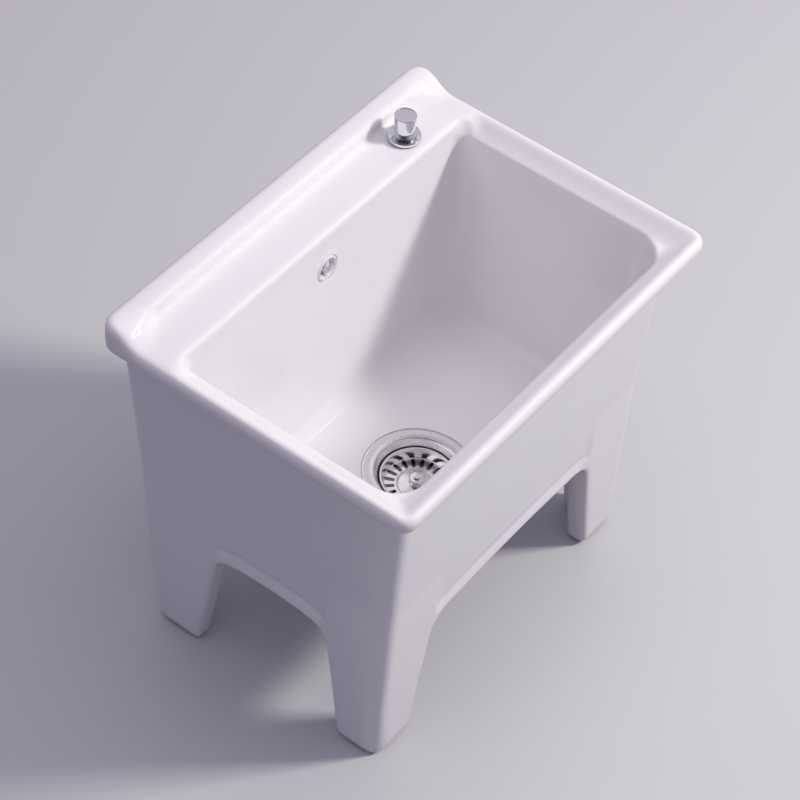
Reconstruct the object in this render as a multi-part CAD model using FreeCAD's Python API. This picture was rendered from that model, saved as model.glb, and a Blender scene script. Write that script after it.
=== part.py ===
import FreeCAD, Part
import math
import os
from FreeCAD import Vector

os.makedirs("parts", exist_ok=True)

# Floor-standing ceramic mop sink with a pull-knob basket waste. Millimetres.
# X runs along the sink, Y from front to back, Z up. The origin is on the floor
# under the middle of the rim.

# Clearances shared by all pieces
seat_gap = 0.3
running_gap = 0.08
thread_gap = 0.05
overrun = 2.0
match_gap = 0.01

# Rim
rim_length = 475.0
rim_depth = 355.0
rim_height = 22.0
rim_corner = 16.0
rim_round = 8.0
rim_inner_round = 5.0
rim_overhang = 22.0
rim_back_setback = 0.5

# Raised lip along the back
lip_height = 16.0
lip_width = 20.5
lip_cove = 13.0
lip_end_width = 11.0
lip_end_cove = 42.0
lip_straight_inset = 48.0
lip_end_inset = 20.0

# Body under the rim: its section shrinks from the rim down to the underside
underside = 155.0
body_taper_side = 13.5
body_taper_front = 12.5
body_taper_back = 19.0
body_corner_top = 18.0
body_corner_low = 13.0

# Legs: upright corners that run out into the body at the knee
leg_knee = 223.0
leg_taper_side = 0.4
leg_taper_front = 2.2
leg_taper_back = 22.0
leg_thickness = 25.0
leg_corner = 10.0
foot_round = 4.0
foot_length = 54.0
front_foot_depth = 49.0
back_foot_depth = 57.0

# Arches between the legs; their crowns lie over the underside
wide_arch_over = 4.0
side_arch_over = 1.5
arch_rise = 7.0
arch_shoulder_round = 24.0
wide_arch_lean = 25.0
side_arch_lean = 24.0
arch_band = 18.0

# Bowl
bowl_depth = 248.0
bowl_floor_thickness = 12.0
bowl_side_margin = 29.5
bowl_front_margin = 27.5
deck_width = 78.0
bowl_flare = 14.0
bowl_back_flare = 0.5
bowl_flare_depth = 15.0
bowl_draft_side = 17.5
bowl_draft_front = 17.0
bowl_draft_back = 12.5
bowl_corner_front = 38.0
bowl_corner_crease = 32.0
bowl_corner_crest = 20.0
bowl_corner_back = 28.0
bowl_corner_back_top = 13.0
bowl_floor_round = 22.0

# Hollow behind the bowl
deck_thickness = 14.0
bowl_wall = 10.0
rear_wall = 10.0
hollow_end_margin = 52.0
hollow_corner = 6.0

# Waste: where it is, flange and cup
drain_x = 0.0
drain_from_front = 123.0
drain_hole_radius = 45.0
flange_radius = 56.2
flange_thickness = 1.4
flange_dish = 1.0
flange_seal_thickness = 1.5
throat_radius = 43.4
throat_depth = 7.5
cup_outer_radius = 41.1
cup_wall = 1.4
cup_depth = 48.0
cup_shoulder_depth = 36.0
cup_bottom_radius = 28.0
neck_outer_radius = 24.0
neck_bore_radius = 20.0
neck_length = 11.0

# Clamp under the ceramic floor
body_seal_thickness = 2.0
body_seal_width = 12.0
lock_nut_height = 9.0
lock_nut_width = 11.0
lock_nut_lugs = 6
lock_nut_lug_depth = 3.0
lock_nut_lug_width = 8.0

# Basket
basket_rim_radius = 38.2
basket_rim_drop = 7.5
basket_rim_width = 2.6
basket_rim_height = 3.0
basket_sheet = 1.0
basket_trough_radius = 33.8
basket_trough_depth = 21.0
basket_trough_inner = 20.4
basket_dish_radius = 18.6
basket_dish_drop = 19.0
basket_dish_crown = 1.5
basket_slots = 20
basket_slot_turn = 8.0
basket_slot_width = 3.2
basket_slot_inner = 22.2
basket_slot_outer = 33.4

# Grip, stem, seal and nut of the basket
grip_radius = 8.7
grip_neck_radius = 3.4
grip_neck_height = 4.0
grip_head_height = 7.5
grip_tab_length = 6.0
grip_tab_width = 3.4
grip_tab_count = 3
stem_radius = 4.0
basket_seal_radius = 25.0
basket_seal_thickness = 3.0
basket_seal_bore_gap = 0.1
seal_nut_radius = 7.5
seal_nut_height = 4.0
stem_tip = 2.5

# Chamber under the cup
socket_wall = 4.0
neck_seal_thickness = 2.0
chamber_radius = 36.0
chamber_wall = 3.0
chamber_height = 39.0
chamber_roof = 3.0
body_flange_radius = 46.0
body_flange_thickness = 4.0
cover_seal_thickness = 1.0
cover_thickness = 5.0
cover_screws = 4
cover_screw_radius = 1.5
cover_screw_head_radius = 3.2
cover_screw_head_height = 2.2
cover_screw_length = 9.0
cover_screw_edge = 3.6

# Outlet
outlet_bore_radius = 18.0
outlet_wall = 3.0
outlet_length = 20.0
tail_radius = 16.0
tail_wall = 1.6
tail_land_radius = 16.4
tail_land_lead = 1.0
tail_length = 40.0
tail_reach = 14.0
tail_collar_height = 1.5
tail_collar_radius = 17.6
tail_washer_height = 3.0
tail_nut_height = 15.0
tail_nut_wall = 4.0
tail_nut_lip = 3.0
tail_nut_ribs = 8
tail_nut_rib_radius = 2.0

# Lift pin, bridge, bell crank and wire in the chamber
knob_travel = 10.0
lever_turn = 26.0
lever_wire_arm = 22.0
lift_travel = 8.0
lever_hub_radius = 5.0
lever_nose_radius = 3.0
lever_top_radius = 3.4
lever_half_width = 3.6
lever_height_over_cover = 10.0
lever_cheek_gap = 1.7
hinge_pin_radius = 2.0
hinge_ear_thickness = 3.0
link_pin_radius = 1.2
eye_length = 7.0
eye_width = 2.4
eye_height = 8.0
lift_pin_radius = 3.0
lift_pin_tip_radius = 1.2
lift_pin_tip_length = 3.0
lift_collar_radius = 4.6
lift_collar_height = 2.0
bridge_width = 6.0
bridge_height = 6.0
bridge_boss_radius = 5.2
bridge_drop = 17.0

# Cable and its fittings
wire_radius = 0.75
sheath_radius = 2.5
sheath_bore_radius = 1.1
ferrule_radius = 3.5
ferrule_length = 15.0
ferrule_cap = 3.4
sheath_seat = 0.3
gland_boss_radius = 8.0
gland_boss_length = 14.0
gland_seat_depth = 8.0
gland_nut_wall = 2.5
gland_nut_length = 11.0
gland_cap = 3.0
wire_tail = 16.0

# Knob and its guide through the deck
knob_from_end = 85.0
knob_from_wall = 51.5
knob_height = 25.0
knob_top_radius = 11.3
knob_base_radius = 10.3
knob_edge_round = 0.8
knob_rise = 0.6
knob_socket_depth = 14.0
knob_gasket_thickness = 1.5
knob_gasket_inset = 0.8
knob_flange_radius = 17.0
knob_flange_height = 4.2
knob_flange_rim = 2.0
knob_flange_plate = 1.8
guide_radius = 8.5
guide_head_radius = 10.4
guide_head_height = 1.0
guide_length = 44.0
deck_hole_gap = 2.0
knob_washer_thickness = 1.6
knob_washer_radius = 13.5
knob_nut_height = 6.5
knob_nut_flats = 24.0
rod_radius = 3.0
rod_reach = 6.0
rod_wire_depth = 6.0
grub_radius = 1.5
grub_length = 6.0
grub_height_in_knob = 8.0
stop_wall = 2.5
stop_overlap = 10.0
stop_cavity_radius = 6.0
stop_cavity_height = 27.0
stop_floor = 4.0
stop_seat_depth = 2.4

# Overflow
overflow_drop = 46.0
overflow_hole_radius = 11.4
overflow_ring_radius = 14.8
overflow_ring_thickness = 2.4
overflow_sleeve_gap = 0.4
overflow_sleeve_wall = 1.4
overflow_sleeve_length = 9.0
overflow_bridge_width = 4.6
overflow_proud = 0.8
overflow_gasket_thickness = 2.0
overflow_gasket_radius = 16.5
elbow_radius = 17.0
elbow_depth = 19.0
elbow_wall = 2.0
elbow_spigot_length = 22.0
overflow_screw_radius = 1.9
overflow_screw_head_radius = 3.4
overflow_screw_head_height = 1.6

# Overflow hose and clips
spigot_radius = 8.5
spigot_wall = 1.5
spigot_length = 19.0
spigot_height_over_cover = 19.0
hose_gap = 0.1
hose_wall = 2.0
hose_overlap = 16.0
clip_width = 7.0
clip_thickness = 0.8
clip_setback = 4.0
clip_ear = 5.0

# Route of the cable from the deck to the waste: how its corners lie off the knob's
# axis or over the underside, and how far out it turns in front of the gland
cable_drop = 70.0
cable_shift_in = 60.5
cable_shift_forward = 2.0
cable_shift_over = 38.0
cable_turn_in = 58.5
cable_turn_forward = 10.0
cable_lead = 65.0

bend_share = 0.45
dome_share = 0.66

# Places worked out from the sizes above
bowl_floor = underside + bowl_floor_thickness
rim_top = bowl_floor + bowl_depth
wide_arch_crown = underside + wide_arch_over
side_arch_crown = underside + side_arch_over
rim_half_x = rim_length / 2
rim_half_y = rim_depth / 2
rim_underside = rim_top - rim_height
lip_top = rim_top + lip_height
flare_z = rim_top - bowl_flare_depth
bowl_half_x = rim_half_x - bowl_side_margin
bowl_front = -rim_half_y + bowl_front_margin
bowl_back = rim_half_y - deck_width
deck_underside = rim_top - deck_thickness
drain_y = bowl_front + drain_from_front
knob_x = rim_half_x - knob_from_end
knob_y = rim_half_y - knob_from_wall
overflow_height = rim_top - overflow_drop

flange_top = bowl_floor
flange_underside = flange_top - flange_thickness
recess_floor = flange_underside - flange_seal_thickness
cup_bore_radius = cup_outer_radius - cup_wall
cup_floor = flange_top - cup_depth
cup_floor_under = cup_floor - cup_wall
neck_end = cup_floor_under - neck_length
chamber_roof_top = neck_end - neck_seal_thickness
chamber_top = chamber_roof_top - chamber_roof
chamber_bottom = chamber_top - chamber_height
chamber_outer = chamber_radius + chamber_wall
cover_top = chamber_bottom - cover_seal_thickness
cover_bottom = cover_top - cover_thickness
outlet_radius = outlet_bore_radius + outlet_wall
outlet_end = cover_bottom - outlet_length

half_turn = math.radians(lever_turn / 2)
lever_lift_arm = lift_travel / (2 * math.sin(half_turn))
lever_x = drain_x + lever_lift_arm * math.cos(half_turn)
lever_z = cover_top + lever_height_over_cover
nose_x = lever_x - lever_lift_arm * math.cos(half_turn)
nose_z = lever_z - lever_lift_arm * math.sin(half_turn)
link_x = lever_x - lever_wire_arm * math.sin(half_turn)
link_z = lever_z + lever_wire_arm * math.cos(half_turn)
nose_rise = lever_nose_radius / math.cos(half_turn) + lift_pin_tip_radius * math.tan(half_turn)
lift_pin_bottom = nose_z + nose_rise + seat_gap
bridge_top = chamber_top - bridge_drop + bridge_height
seal_bottom = cup_floor + seat_gap
seal_top = seal_bottom + basket_seal_thickness
stem_bottom = seal_bottom - seal_nut_height - stem_tip
lift_pin_top = stem_bottom - seat_gap

basket_rim_z = flange_top - basket_rim_drop
trough_z = flange_top - basket_trough_depth
dish_edge_z = flange_top - basket_dish_drop
dish_crown_z = dish_edge_z + basket_dish_crown

gasket_top = rim_top + knob_gasket_thickness
plate_top = gasket_top + knob_flange_plate
guide_head_top = plate_top + guide_head_height
guide_bottom = guide_head_top - guide_length
knob_bottom = guide_head_top + knob_rise
knob_top = knob_bottom + knob_height
rod_top = knob_bottom + knob_socket_depth
rod_bottom = guide_bottom - rod_reach
stop_top = guide_bottom + stop_overlap
stop_floor_top = guide_bottom - stop_cavity_height
stop_bottom = stop_floor_top - stop_floor
stop_seat = stop_bottom + stop_seat_depth
sheath_start = stop_seat - ferrule_cap - sheath_seat

boss_end = drain_x + chamber_outer + gland_boss_length
gland_seat = boss_end - gland_seat_depth
sheath_end = gland_seat + ferrule_cap + sheath_seat

spigot_z = cover_top + spigot_height_over_cover
spigot_end = drain_y + chamber_outer + spigot_length


def bowl_back_at(z):
    share = (flare_z - z) / (flare_z - bowl_floor)
    return bowl_back - bowl_draft_back * share


overflow_wall_front = bowl_back_at(overflow_height)
overflow_wall_back = bowl_back_at(overflow_height + overflow_gasket_radius) + bowl_wall
overflow_face = overflow_wall_front - overflow_proud
overflow_seat = overflow_face + overflow_ring_thickness
elbow_front = overflow_wall_back + overflow_gasket_thickness
elbow_y = elbow_front + elbow_depth / 2
elbow_bottom = overflow_height - elbow_radius
elbow_spigot_end = elbow_bottom - elbow_spigot_length
overflow_bore_radius = overflow_hole_radius - overflow_sleeve_gap - overflow_sleeve_wall

hose_bore_radius = spigot_radius + hose_gap
hose_radius = hose_bore_radius + hose_wall


# Helpers

def rounded_rect(half_x, front, back, z, front_corner, back_corner):
    """Closed wire: rectangle at height z with round corners, front pair and back pair."""
    corners = [
        (half_x, front, front_corner),
        (half_x, back, back_corner),
        (-half_x, back, back_corner),
        (-half_x, front, front_corner),
    ]
    quarter = math.pi / 2
    arcs = []
    for index, (x, y, radius) in enumerate(corners):
        inward_y = math.copysign(radius, y - (front + back) / 2)
        centre = Vector(x - math.copysign(radius, x), y - inward_y, z)
        points = []
        for turn in (quarter * (index - 1), quarter * (index - 0.5), quarter * index):
            points.append(centre + Vector(math.cos(turn), math.sin(turn), 0) * radius)
        arcs.append(points)
    edges = []
    for index, points in enumerate(arcs):
        edges.append(Part.Arc(*points).toShape())
        following = arcs[(index + 1) % len(arcs)]
        edges.append(Part.LineSegment(points[2], following[0]).toShape())
    return Part.Wire(edges)


def prism(wire, height):
    return Part.Face(wire).extrude(Vector(0, 0, height))


def loft(wires):
    return Part.makeLoft(wires, True, True)


def cylinder(x, y, z, radius, height):
    return Part.makeCylinder(radius, height, Vector(x, y, z))


def pipe_along(axis, start, radius, length):
    return Part.makeCylinder(radius, length, start, axis)


def ring(x, y, z, outer, inner, height):
    return cylinder(x, y, z, outer, height).cut(cylinder(x, y, z - overrun, inner, height + 2 * overrun))


def box(x0, x1, y0, y1, z0, z1):
    return Part.makeBox(x1 - x0, y1 - y0, z1 - z0, Vector(x0, y0, z0))


def turned(x, y, profile):
    """Solid of revolution about the vertical through x, y; profile is a list of (radius, z)."""
    points = [Vector(radius, 0, z) for radius, z in profile]
    wire = Part.makePolygon(points + points[:1])
    solid = Part.Face(wire).revolve(Vector(0, 0, 0), Vector(0, 0, 1), 360)
    solid.translate(Vector(x, y, 0))
    return solid


def hexagon(x, y, z, flats, height):
    radius = flats / math.sqrt(3)
    points = []
    for side in range(6):
        turn = math.radians(60 * side)
        points.append(Vector(x + radius * math.cos(turn), y + radius * math.sin(turn), z))
    return prism(Part.makePolygon(points + points[:1]), height)


def around(shape, x, y, count):
    """Copies of shape, evenly turned about the vertical through x, y."""
    copies = []
    for index in range(count):
        copy = shape.copy()
        copy.rotate(Vector(x, y, 0), Vector(0, 0, 1), 360 * index / count)
        copies.append(copy)
    return copies


def bent_path(points):
    """Wire through the corner points, each corner an arc; returns it with its radii."""
    edges = []
    radii = []
    start = points[0]
    for before, corner, after in zip(points, points[1:], points[2:]):
        inward = (corner - before).normalize()
        outward = (after - corner).normalize()
        turn = inward.getAngle(outward)
        setback = bend_share * min(corner.distanceToPoint(before), corner.distanceToPoint(after))
        radius = setback / math.tan(turn / 2)
        enter = corner - inward * setback
        leave = corner + outward * setback
        towards_centre = (outward - inward).normalize()
        middle = corner + towards_centre * (radius / math.cos(turn / 2) - radius)
        edges.append(Part.LineSegment(start, enter).toShape())
        edges.append(Part.Arc(enter, middle, leave).toShape())
        radii.append(round(radius, 1))
        start = leave
    edges.append(Part.LineSegment(start, points[-1]).toShape())
    return Part.Wire(edges), radii


def swept(path, radius):
    first = path.Edges[0]
    start = first.valueAt(first.FirstParameter)
    circle = Part.Wire(Part.makeCircle(radius, start, first.tangentAt(first.FirstParameter)))
    return path.makePipeShell([circle], True, False)


def tube(name, points, outer, inner):
    path, radii = bent_path(points)
    solid = swept(path, outer).cut(swept(path, inner))
    section = math.pi * (outer ** 2 - inner ** 2)
    print(name, "length", round(path.Length, 1), "radii", radii,
          "volume share", round(solid.Volume / (section * path.Length), 4))
    return solid


def save(name, shape):
    shape.exportStep("parts/" + name + ".step")
    print(name, "solids", len(shape.Solids), "valid", shape.isValid(), "volume", round(shape.Volume))


# The ceramic tub

def body_section(z):
    """Half length, front, back and corner radius of the tapered body at height z."""
    share = (rim_underside - z) / (rim_underside - underside)
    return (
        rim_half_x - rim_overhang - body_taper_side * share,
        -rim_half_y + rim_overhang + body_taper_front * share,
        rim_half_y - rim_back_setback - body_taper_back * share,
        body_corner_top + (body_corner_low - body_corner_top) * share,
    )


def foot_section():
    half_x, front, back, corner = body_section(leg_knee)
    return half_x - leg_taper_side, front + leg_taper_front, back - leg_taper_back, leg_corner


def section_wire(section, z):
    half_x, front, back, corner = section
    return rounded_rect(half_x, front, back, z, corner, corner)


def bowl_cutter():
    low = rounded_rect(
        bowl_half_x - bowl_draft_side, bowl_front + bowl_draft_front, bowl_back - bowl_draft_back,
        bowl_floor, bowl_corner_front, bowl_corner_back)
    flare = rounded_rect(
        bowl_half_x, bowl_front, bowl_back, flare_z, bowl_corner_crease, bowl_corner_back_top)
    top = rounded_rect(
        bowl_half_x + bowl_flare, bowl_front - bowl_flare, bowl_back + bowl_back_flare,
        rim_top, bowl_corner_crest, bowl_corner_back_top + bowl_back_flare)
    solid = loft([low, flare, top])
    low_edges = [edge for edge in solid.Edges if edge.BoundBox.ZMax < bowl_floor + match_gap]
    solid = solid.makeFillet(bowl_floor_round, low_edges)
    return solid.fuse(prism(top, lip_height + overrun)).removeSplitter()


def hollow_cutter():
    half_x = rim_half_x - hollow_end_margin
    low_back = body_section(underside)[2] - rear_wall
    high_back = body_section(rim_underside)[2] - rear_wall
    low = rounded_rect(half_x, bowl_back_at(underside) + bowl_wall, low_back, underside,
                       hollow_corner, hollow_corner)
    high = rounded_rect(half_x, bowl_back + bowl_wall, high_back, deck_underside,
                        hollow_corner, hollow_corner)
    return loft([low, high])


def lip_profile(x, foot_y, top_y):
    """Section of the back lip at x: a soft S from the deck up to the lip's top."""
    run = (top_y - foot_y) / 2
    rise = lip_height / 2
    radius = (run ** 2 + rise ** 2) / (2 * rise)
    half = math.asin(run / radius) / 2
    middle_y = foot_y + run
    middle_z = rim_top + rise
    along = radius * math.sin(half)
    across = radius * (1 - math.cos(half))
    foot = Vector(x, foot_y, rim_top)
    middle = Vector(x, middle_y, middle_z)
    top = Vector(x, top_y, lip_top)
    back = Vector(x, rim_half_y, lip_top)
    back_low = Vector(x, rim_half_y, rim_top)
    return Part.Wire([
        Part.Arc(foot, Vector(x, foot_y + along, rim_top + across), middle).toShape(),
        Part.Arc(middle, Vector(x, top_y - along, lip_top - across), top).toShape(),
        Part.LineSegment(top, back).toShape(),
        Part.LineSegment(back, back_low).toShape(),
        Part.LineSegment(back_low, foot).toShape(),
    ])


def back_lip():
    top_y = rim_half_y - lip_width
    end_top_y = rim_half_y - lip_end_width
    stations = [
        (-rim_half_x, end_top_y - lip_end_cove, end_top_y),
        (-rim_half_x + lip_end_inset, end_top_y - lip_end_cove, end_top_y),
        (-rim_half_x + lip_straight_inset, top_y - lip_cove, top_y),
        (rim_half_x - lip_straight_inset, top_y - lip_cove, top_y),
        (rim_half_x - lip_end_inset, end_top_y - lip_end_cove, end_top_y),
        (rim_half_x, end_top_y - lip_end_cove, end_top_y),
    ]
    return loft([lip_profile(x, foot, top) for x, foot, top in stations])


def rim_plate(bowl, hollow):
    plan = rounded_rect(rim_half_x, -rim_half_y, rim_half_y, rim_underside, rim_corner, rim_corner)
    plate = prism(plan, rim_height)
    lip = back_lip().common(prism(plan, rim_height + lip_height))
    rim = plate.fuse(lip).removeSplitter()
    outer = []
    for edge in rim.Edges:
        middle = edge.valueAt((edge.FirstParameter + edge.LastParameter) / 2)
        flat = Vector(middle.x, middle.y, rim_underside)
        on_plan = Part.Vertex(flat).distToShape(plan)[0] < match_gap
        upright = edge.BoundBox.XLength + edge.BoundBox.YLength < match_gap
        if on_plan and not upright and middle.z > rim_top - match_gap:
            outer.append(edge)
    rim = rim.makeFillet(rim_round, outer)
    rim = rim.cut(bowl)
    half_x = bowl_half_x + bowl_flare
    inner = []
    for edge in rim.Edges:
        bounds = edge.BoundBox
        flat = bounds.ZMin > rim_top - match_gap and bounds.ZMax < rim_top + match_gap
        inside = max(abs(bounds.XMin), abs(bounds.XMax)) < half_x + match_gap
        ahead = bounds.YMax < bowl_back + bowl_back_flare + match_gap
        if flat and inside and ahead:
            inner.append(edge)
    rim = rim.makeFillet(rim_inner_round, inner)
    return rim.cut(hollow)


def arch(first, last, lean, crown, axis):
    """Cutter under an arch: foot points first and last, sides leaning in, curved crown."""
    spring = crown - arch_rise
    low = -overrun
    reach = rim_length

    def place(along, z):
        if axis == "y":
            return Vector(along, -reach / 2, z)
        return Vector(-reach / 2, along, z)

    left = place(first + lean, spring)
    right = place(last - lean, spring)
    wire = Part.Wire([
        Part.LineSegment(place(first, low), left).toShape(),
        Part.Arc(left, place((first + last) / 2, crown), right).toShape(),
        Part.LineSegment(right, place(last, low)).toShape(),
        Part.LineSegment(place(last, low), place(first, low)).toShape(),
    ])
    direction = Vector(0, reach, 0) if axis == "y" else Vector(reach, 0, 0)
    solid = Part.Face(wire).extrude(direction)
    shoulders = []
    for edge in solid.Edges:
        bounds = edge.BoundBox
        level = bounds.ZLength < match_gap and abs(bounds.ZMin - spring) < match_gap
        if level and edge.Length > reach - match_gap:
            shoulders.append(edge)
    return solid.makeFillet(arch_shoulder_round, shoulders)


def leg_frame():
    """Skirt with four L-shaped legs, proud of the body up to the knee."""
    foot = foot_section()
    half_x, front, back = foot[:3]
    outer = loft([section_wire(foot, 0), section_wire(body_section(leg_knee), leg_knee)])
    inner = box(-half_x + leg_thickness, half_x - leg_thickness, front + leg_thickness,
                back - leg_thickness, -overrun, underside)
    wide = arch(-half_x + foot_length, half_x - foot_length, wide_arch_lean, wide_arch_crown, "y")
    side = arch(front + front_foot_depth, back - back_foot_depth, side_arch_lean, side_arch_crown, "x")
    frame = outer.cut(inner).cut(wide).cut(side)
    edges = []
    for edge in frame.Edges:
        bounds = edge.BoundBox
        if bounds.ZMax < match_gap:
            edges.append(edge)
    frame = frame.makeFillet(foot_round, edges)
    top = leg_knee + overrun
    wide_first = -half_x + foot_length + wide_arch_lean
    side_first = front + front_foot_depth + side_arch_lean
    side_last = back - back_foot_depth - side_arch_lean
    wide_panel = box(wide_first, -wide_first, -rim_half_y, rim_half_y, underside, top)
    side_panel = box(-rim_half_x, rim_half_x, side_first, side_last, underside, top)
    wide.translate(Vector(0, 0, arch_band))
    side.translate(Vector(0, 0, arch_band))
    return frame.cut(wide_panel.cut(wide)).cut(side_panel.cut(side))


def tub():
    bowl = bowl_cutter()
    hollow = hollow_cutter()
    crease = body_section(rim_underside)
    body = loft([section_wire(body_section(underside), underside), section_wire(crease, rim_underside)])
    body = body.fuse(prism(section_wire(crease, rim_underside), rim_inner_round))
    shell = body.fuse(leg_frame()).cut(bowl).cut(hollow)
    shell = shell.fuse(rim_plate(bowl, hollow)).removeSplitter()
    drain_recess = cylinder(drain_x, drain_y, recess_floor, flange_radius + seat_gap, bowl_floor_round)
    drain_hole = cylinder(drain_x, drain_y, underside - overrun, drain_hole_radius, bowl_floor_round)
    knob_hole = cylinder(knob_x, knob_y, deck_underside - overrun, guide_radius + deck_hole_gap, rim_height)
    back = Vector(0, 1, 0)
    wall_start = Vector(0, overflow_seat - bowl_corner_back, overflow_height)
    overflow_recess = pipe_along(back, wall_start, overflow_ring_radius + seat_gap, bowl_corner_back)
    overflow_hole = pipe_along(back, wall_start, overflow_hole_radius, bowl_corner_back + 2 * bowl_wall)
    for cutter in (drain_recess, drain_hole, knob_hole, overflow_recess, overflow_hole):
        shell = shell.cut(cutter)
    return shell


# Waste: flange, clamp and cup

def waste_flange():
    return turned(drain_x, drain_y, [
        (flange_radius, flange_underside),
        (flange_radius, flange_top - flange_thickness / 2),
        (flange_radius - flange_thickness, flange_top),
        (throat_radius + 2 * flange_thickness, flange_top),
        (throat_radius, flange_top - flange_dish),
        (cup_bore_radius, flange_top - throat_depth),
        (cup_bore_radius, flange_top - cup_shoulder_depth),
        (cup_bottom_radius, cup_floor),
        (neck_bore_radius, cup_floor),
        (neck_bore_radius, neck_end),
        (neck_outer_radius, neck_end),
        (neck_outer_radius, cup_floor_under),
        (cup_bottom_radius, cup_floor_under),
        (cup_outer_radius, flange_top - cup_shoulder_depth - cup_wall),
        (cup_outer_radius, flange_top - throat_depth - cup_wall),
        (throat_radius + cup_wall, flange_underside),
    ])


def flange_seal():
    return ring(drain_x, drain_y, recess_floor, flange_radius - seat_gap, drain_hole_radius,
                flange_seal_thickness)


def body_seal():
    return ring(drain_x, drain_y, underside - body_seal_thickness, cup_outer_radius + body_seal_width,
                cup_outer_radius + thread_gap, body_seal_thickness)


def lock_nut():
    top = underside - body_seal_thickness
    outer = cup_outer_radius + lock_nut_width
    nut = ring(drain_x, drain_y, top - lock_nut_height, outer, cup_outer_radius + thread_gap,
               lock_nut_height)
    lug = box(drain_x + outer - match_gap, drain_x + outer + lock_nut_lug_depth,
              drain_y - lock_nut_lug_width / 2, drain_y + lock_nut_lug_width / 2, top - lock_nut_height, top)
    lug = lug.common(cylinder(drain_x, drain_y, top - lock_nut_height,
                              outer + lock_nut_lug_depth, lock_nut_height))
    inner_lug = box(drain_x + cup_outer_radius + lock_nut_width / 2, drain_x + outer,
                    drain_y - lock_nut_lug_width / 2, drain_y + lock_nut_lug_width / 2,
                    top - lock_nut_height, top)
    for piece in around(lug.fuse(inner_lug), drain_x, drain_y, lock_nut_lugs):
        nut = nut.fuse(piece)
    return nut.removeSplitter()


# Basket and what hangs on it

def basket():
    half = basket_sheet / 2
    rim_in = basket_rim_radius - basket_rim_width
    rim_low = basket_rim_z - basket_rim_height
    shell = turned(drain_x, drain_y, [
        (stem_radius, dish_crown_z + half),
        (basket_dish_radius, dish_edge_z + half),
        (basket_trough_inner, trough_z + half),
        (basket_trough_radius, trough_z + half),
        (rim_in, basket_rim_z),
        (basket_rim_radius, basket_rim_z),
        (basket_rim_radius, rim_low),
        (rim_in + half, rim_low),
        (basket_trough_radius + half, trough_z - half),
        (basket_trough_inner, trough_z - half),
        (basket_dish_radius - basket_sheet, dish_edge_z - half),
        (stem_radius, dish_crown_z - half),
    ])
    slot_half = basket_slot_width / 2
    first = drain_x + basket_slot_inner + slot_half
    last = drain_x + basket_slot_outer - slot_half
    slot = box(first, last, drain_y - slot_half, drain_y + slot_half, trough_z - overrun, trough_z + overrun)
    for x in (first, last):
        slot = slot.fuse(cylinder(x, drain_y, trough_z - overrun, slot_half, 2 * overrun))
    slot.rotate(Vector(drain_x, drain_y, 0), Vector(0, 0, 1), basket_slot_turn)
    for cutter in around(slot, drain_x, drain_y, basket_slots):
        shell = shell.cut(cutter)
    return shell


def basket_knob():
    base = dish_crown_z + basket_sheet / 2
    neck_top = base + grip_neck_height
    head_top = neck_top + grip_head_height
    head_middle = neck_top + grip_head_height / 2
    grip = turned(drain_x, drain_y, [
        (0, base),
        (grip_neck_radius + basket_sheet, base),
        (grip_neck_radius, base + basket_sheet),
        (grip_neck_radius, neck_top),
        (grip_radius - basket_sheet, neck_top + basket_sheet),
        (grip_radius, head_middle),
        (grip_radius * dome_share, head_top - basket_sheet),
        (0, head_top),
    ])
    tab = box(drain_x, drain_x + grip_neck_radius + grip_tab_length, drain_y - grip_tab_width / 2,
              drain_y + grip_tab_width / 2, base, base + basket_sheet)
    for piece in around(tab, drain_x, drain_y, grip_tab_count):
        grip = grip.fuse(piece)
    return grip


def basket_stem():
    top = dish_crown_z + basket_sheet / 2
    stem = cylinder(drain_x, drain_y, stem_bottom, stem_radius, top - stem_bottom)
    collar_top = trough_z - basket_sheet
    collar = cylinder(drain_x, drain_y, seal_top, seal_nut_radius, collar_top - seal_top - overrun)
    return stem.fuse(collar).removeSplitter()


def basket_seal():
    return ring(drain_x, drain_y, seal_bottom, basket_seal_radius, stem_radius + basket_seal_bore_gap,
                basket_seal_thickness)


def seal_nut():
    nut = hexagon(drain_x, drain_y, seal_bottom - seal_nut_height, 2 * seal_nut_radius, seal_nut_height)
    bore = cylinder(drain_x, drain_y, seal_bottom - seal_nut_height - overrun, stem_radius + thread_gap,
                    seal_nut_height + 2 * overrun)
    return nut.cut(bore)


# Chamber under the cup

def neck_seal():
    return ring(drain_x, drain_y, chamber_roof_top, neck_outer_radius - thread_gap, neck_bore_radius,
                neck_seal_thickness)


def hinge_ears():
    ears = []
    inner = lever_half_width + seat_gap
    for side in (-1, 1):
        near = drain_y + side * inner
        far = drain_y + side * (inner + hinge_ear_thickness)
        ears.append(box(lever_x - lever_hub_radius, lever_x + lever_hub_radius,
                        min(near, far), max(near, far),
                        lever_z - lever_hub_radius, chamber_top + match_gap))
    return ears


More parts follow.
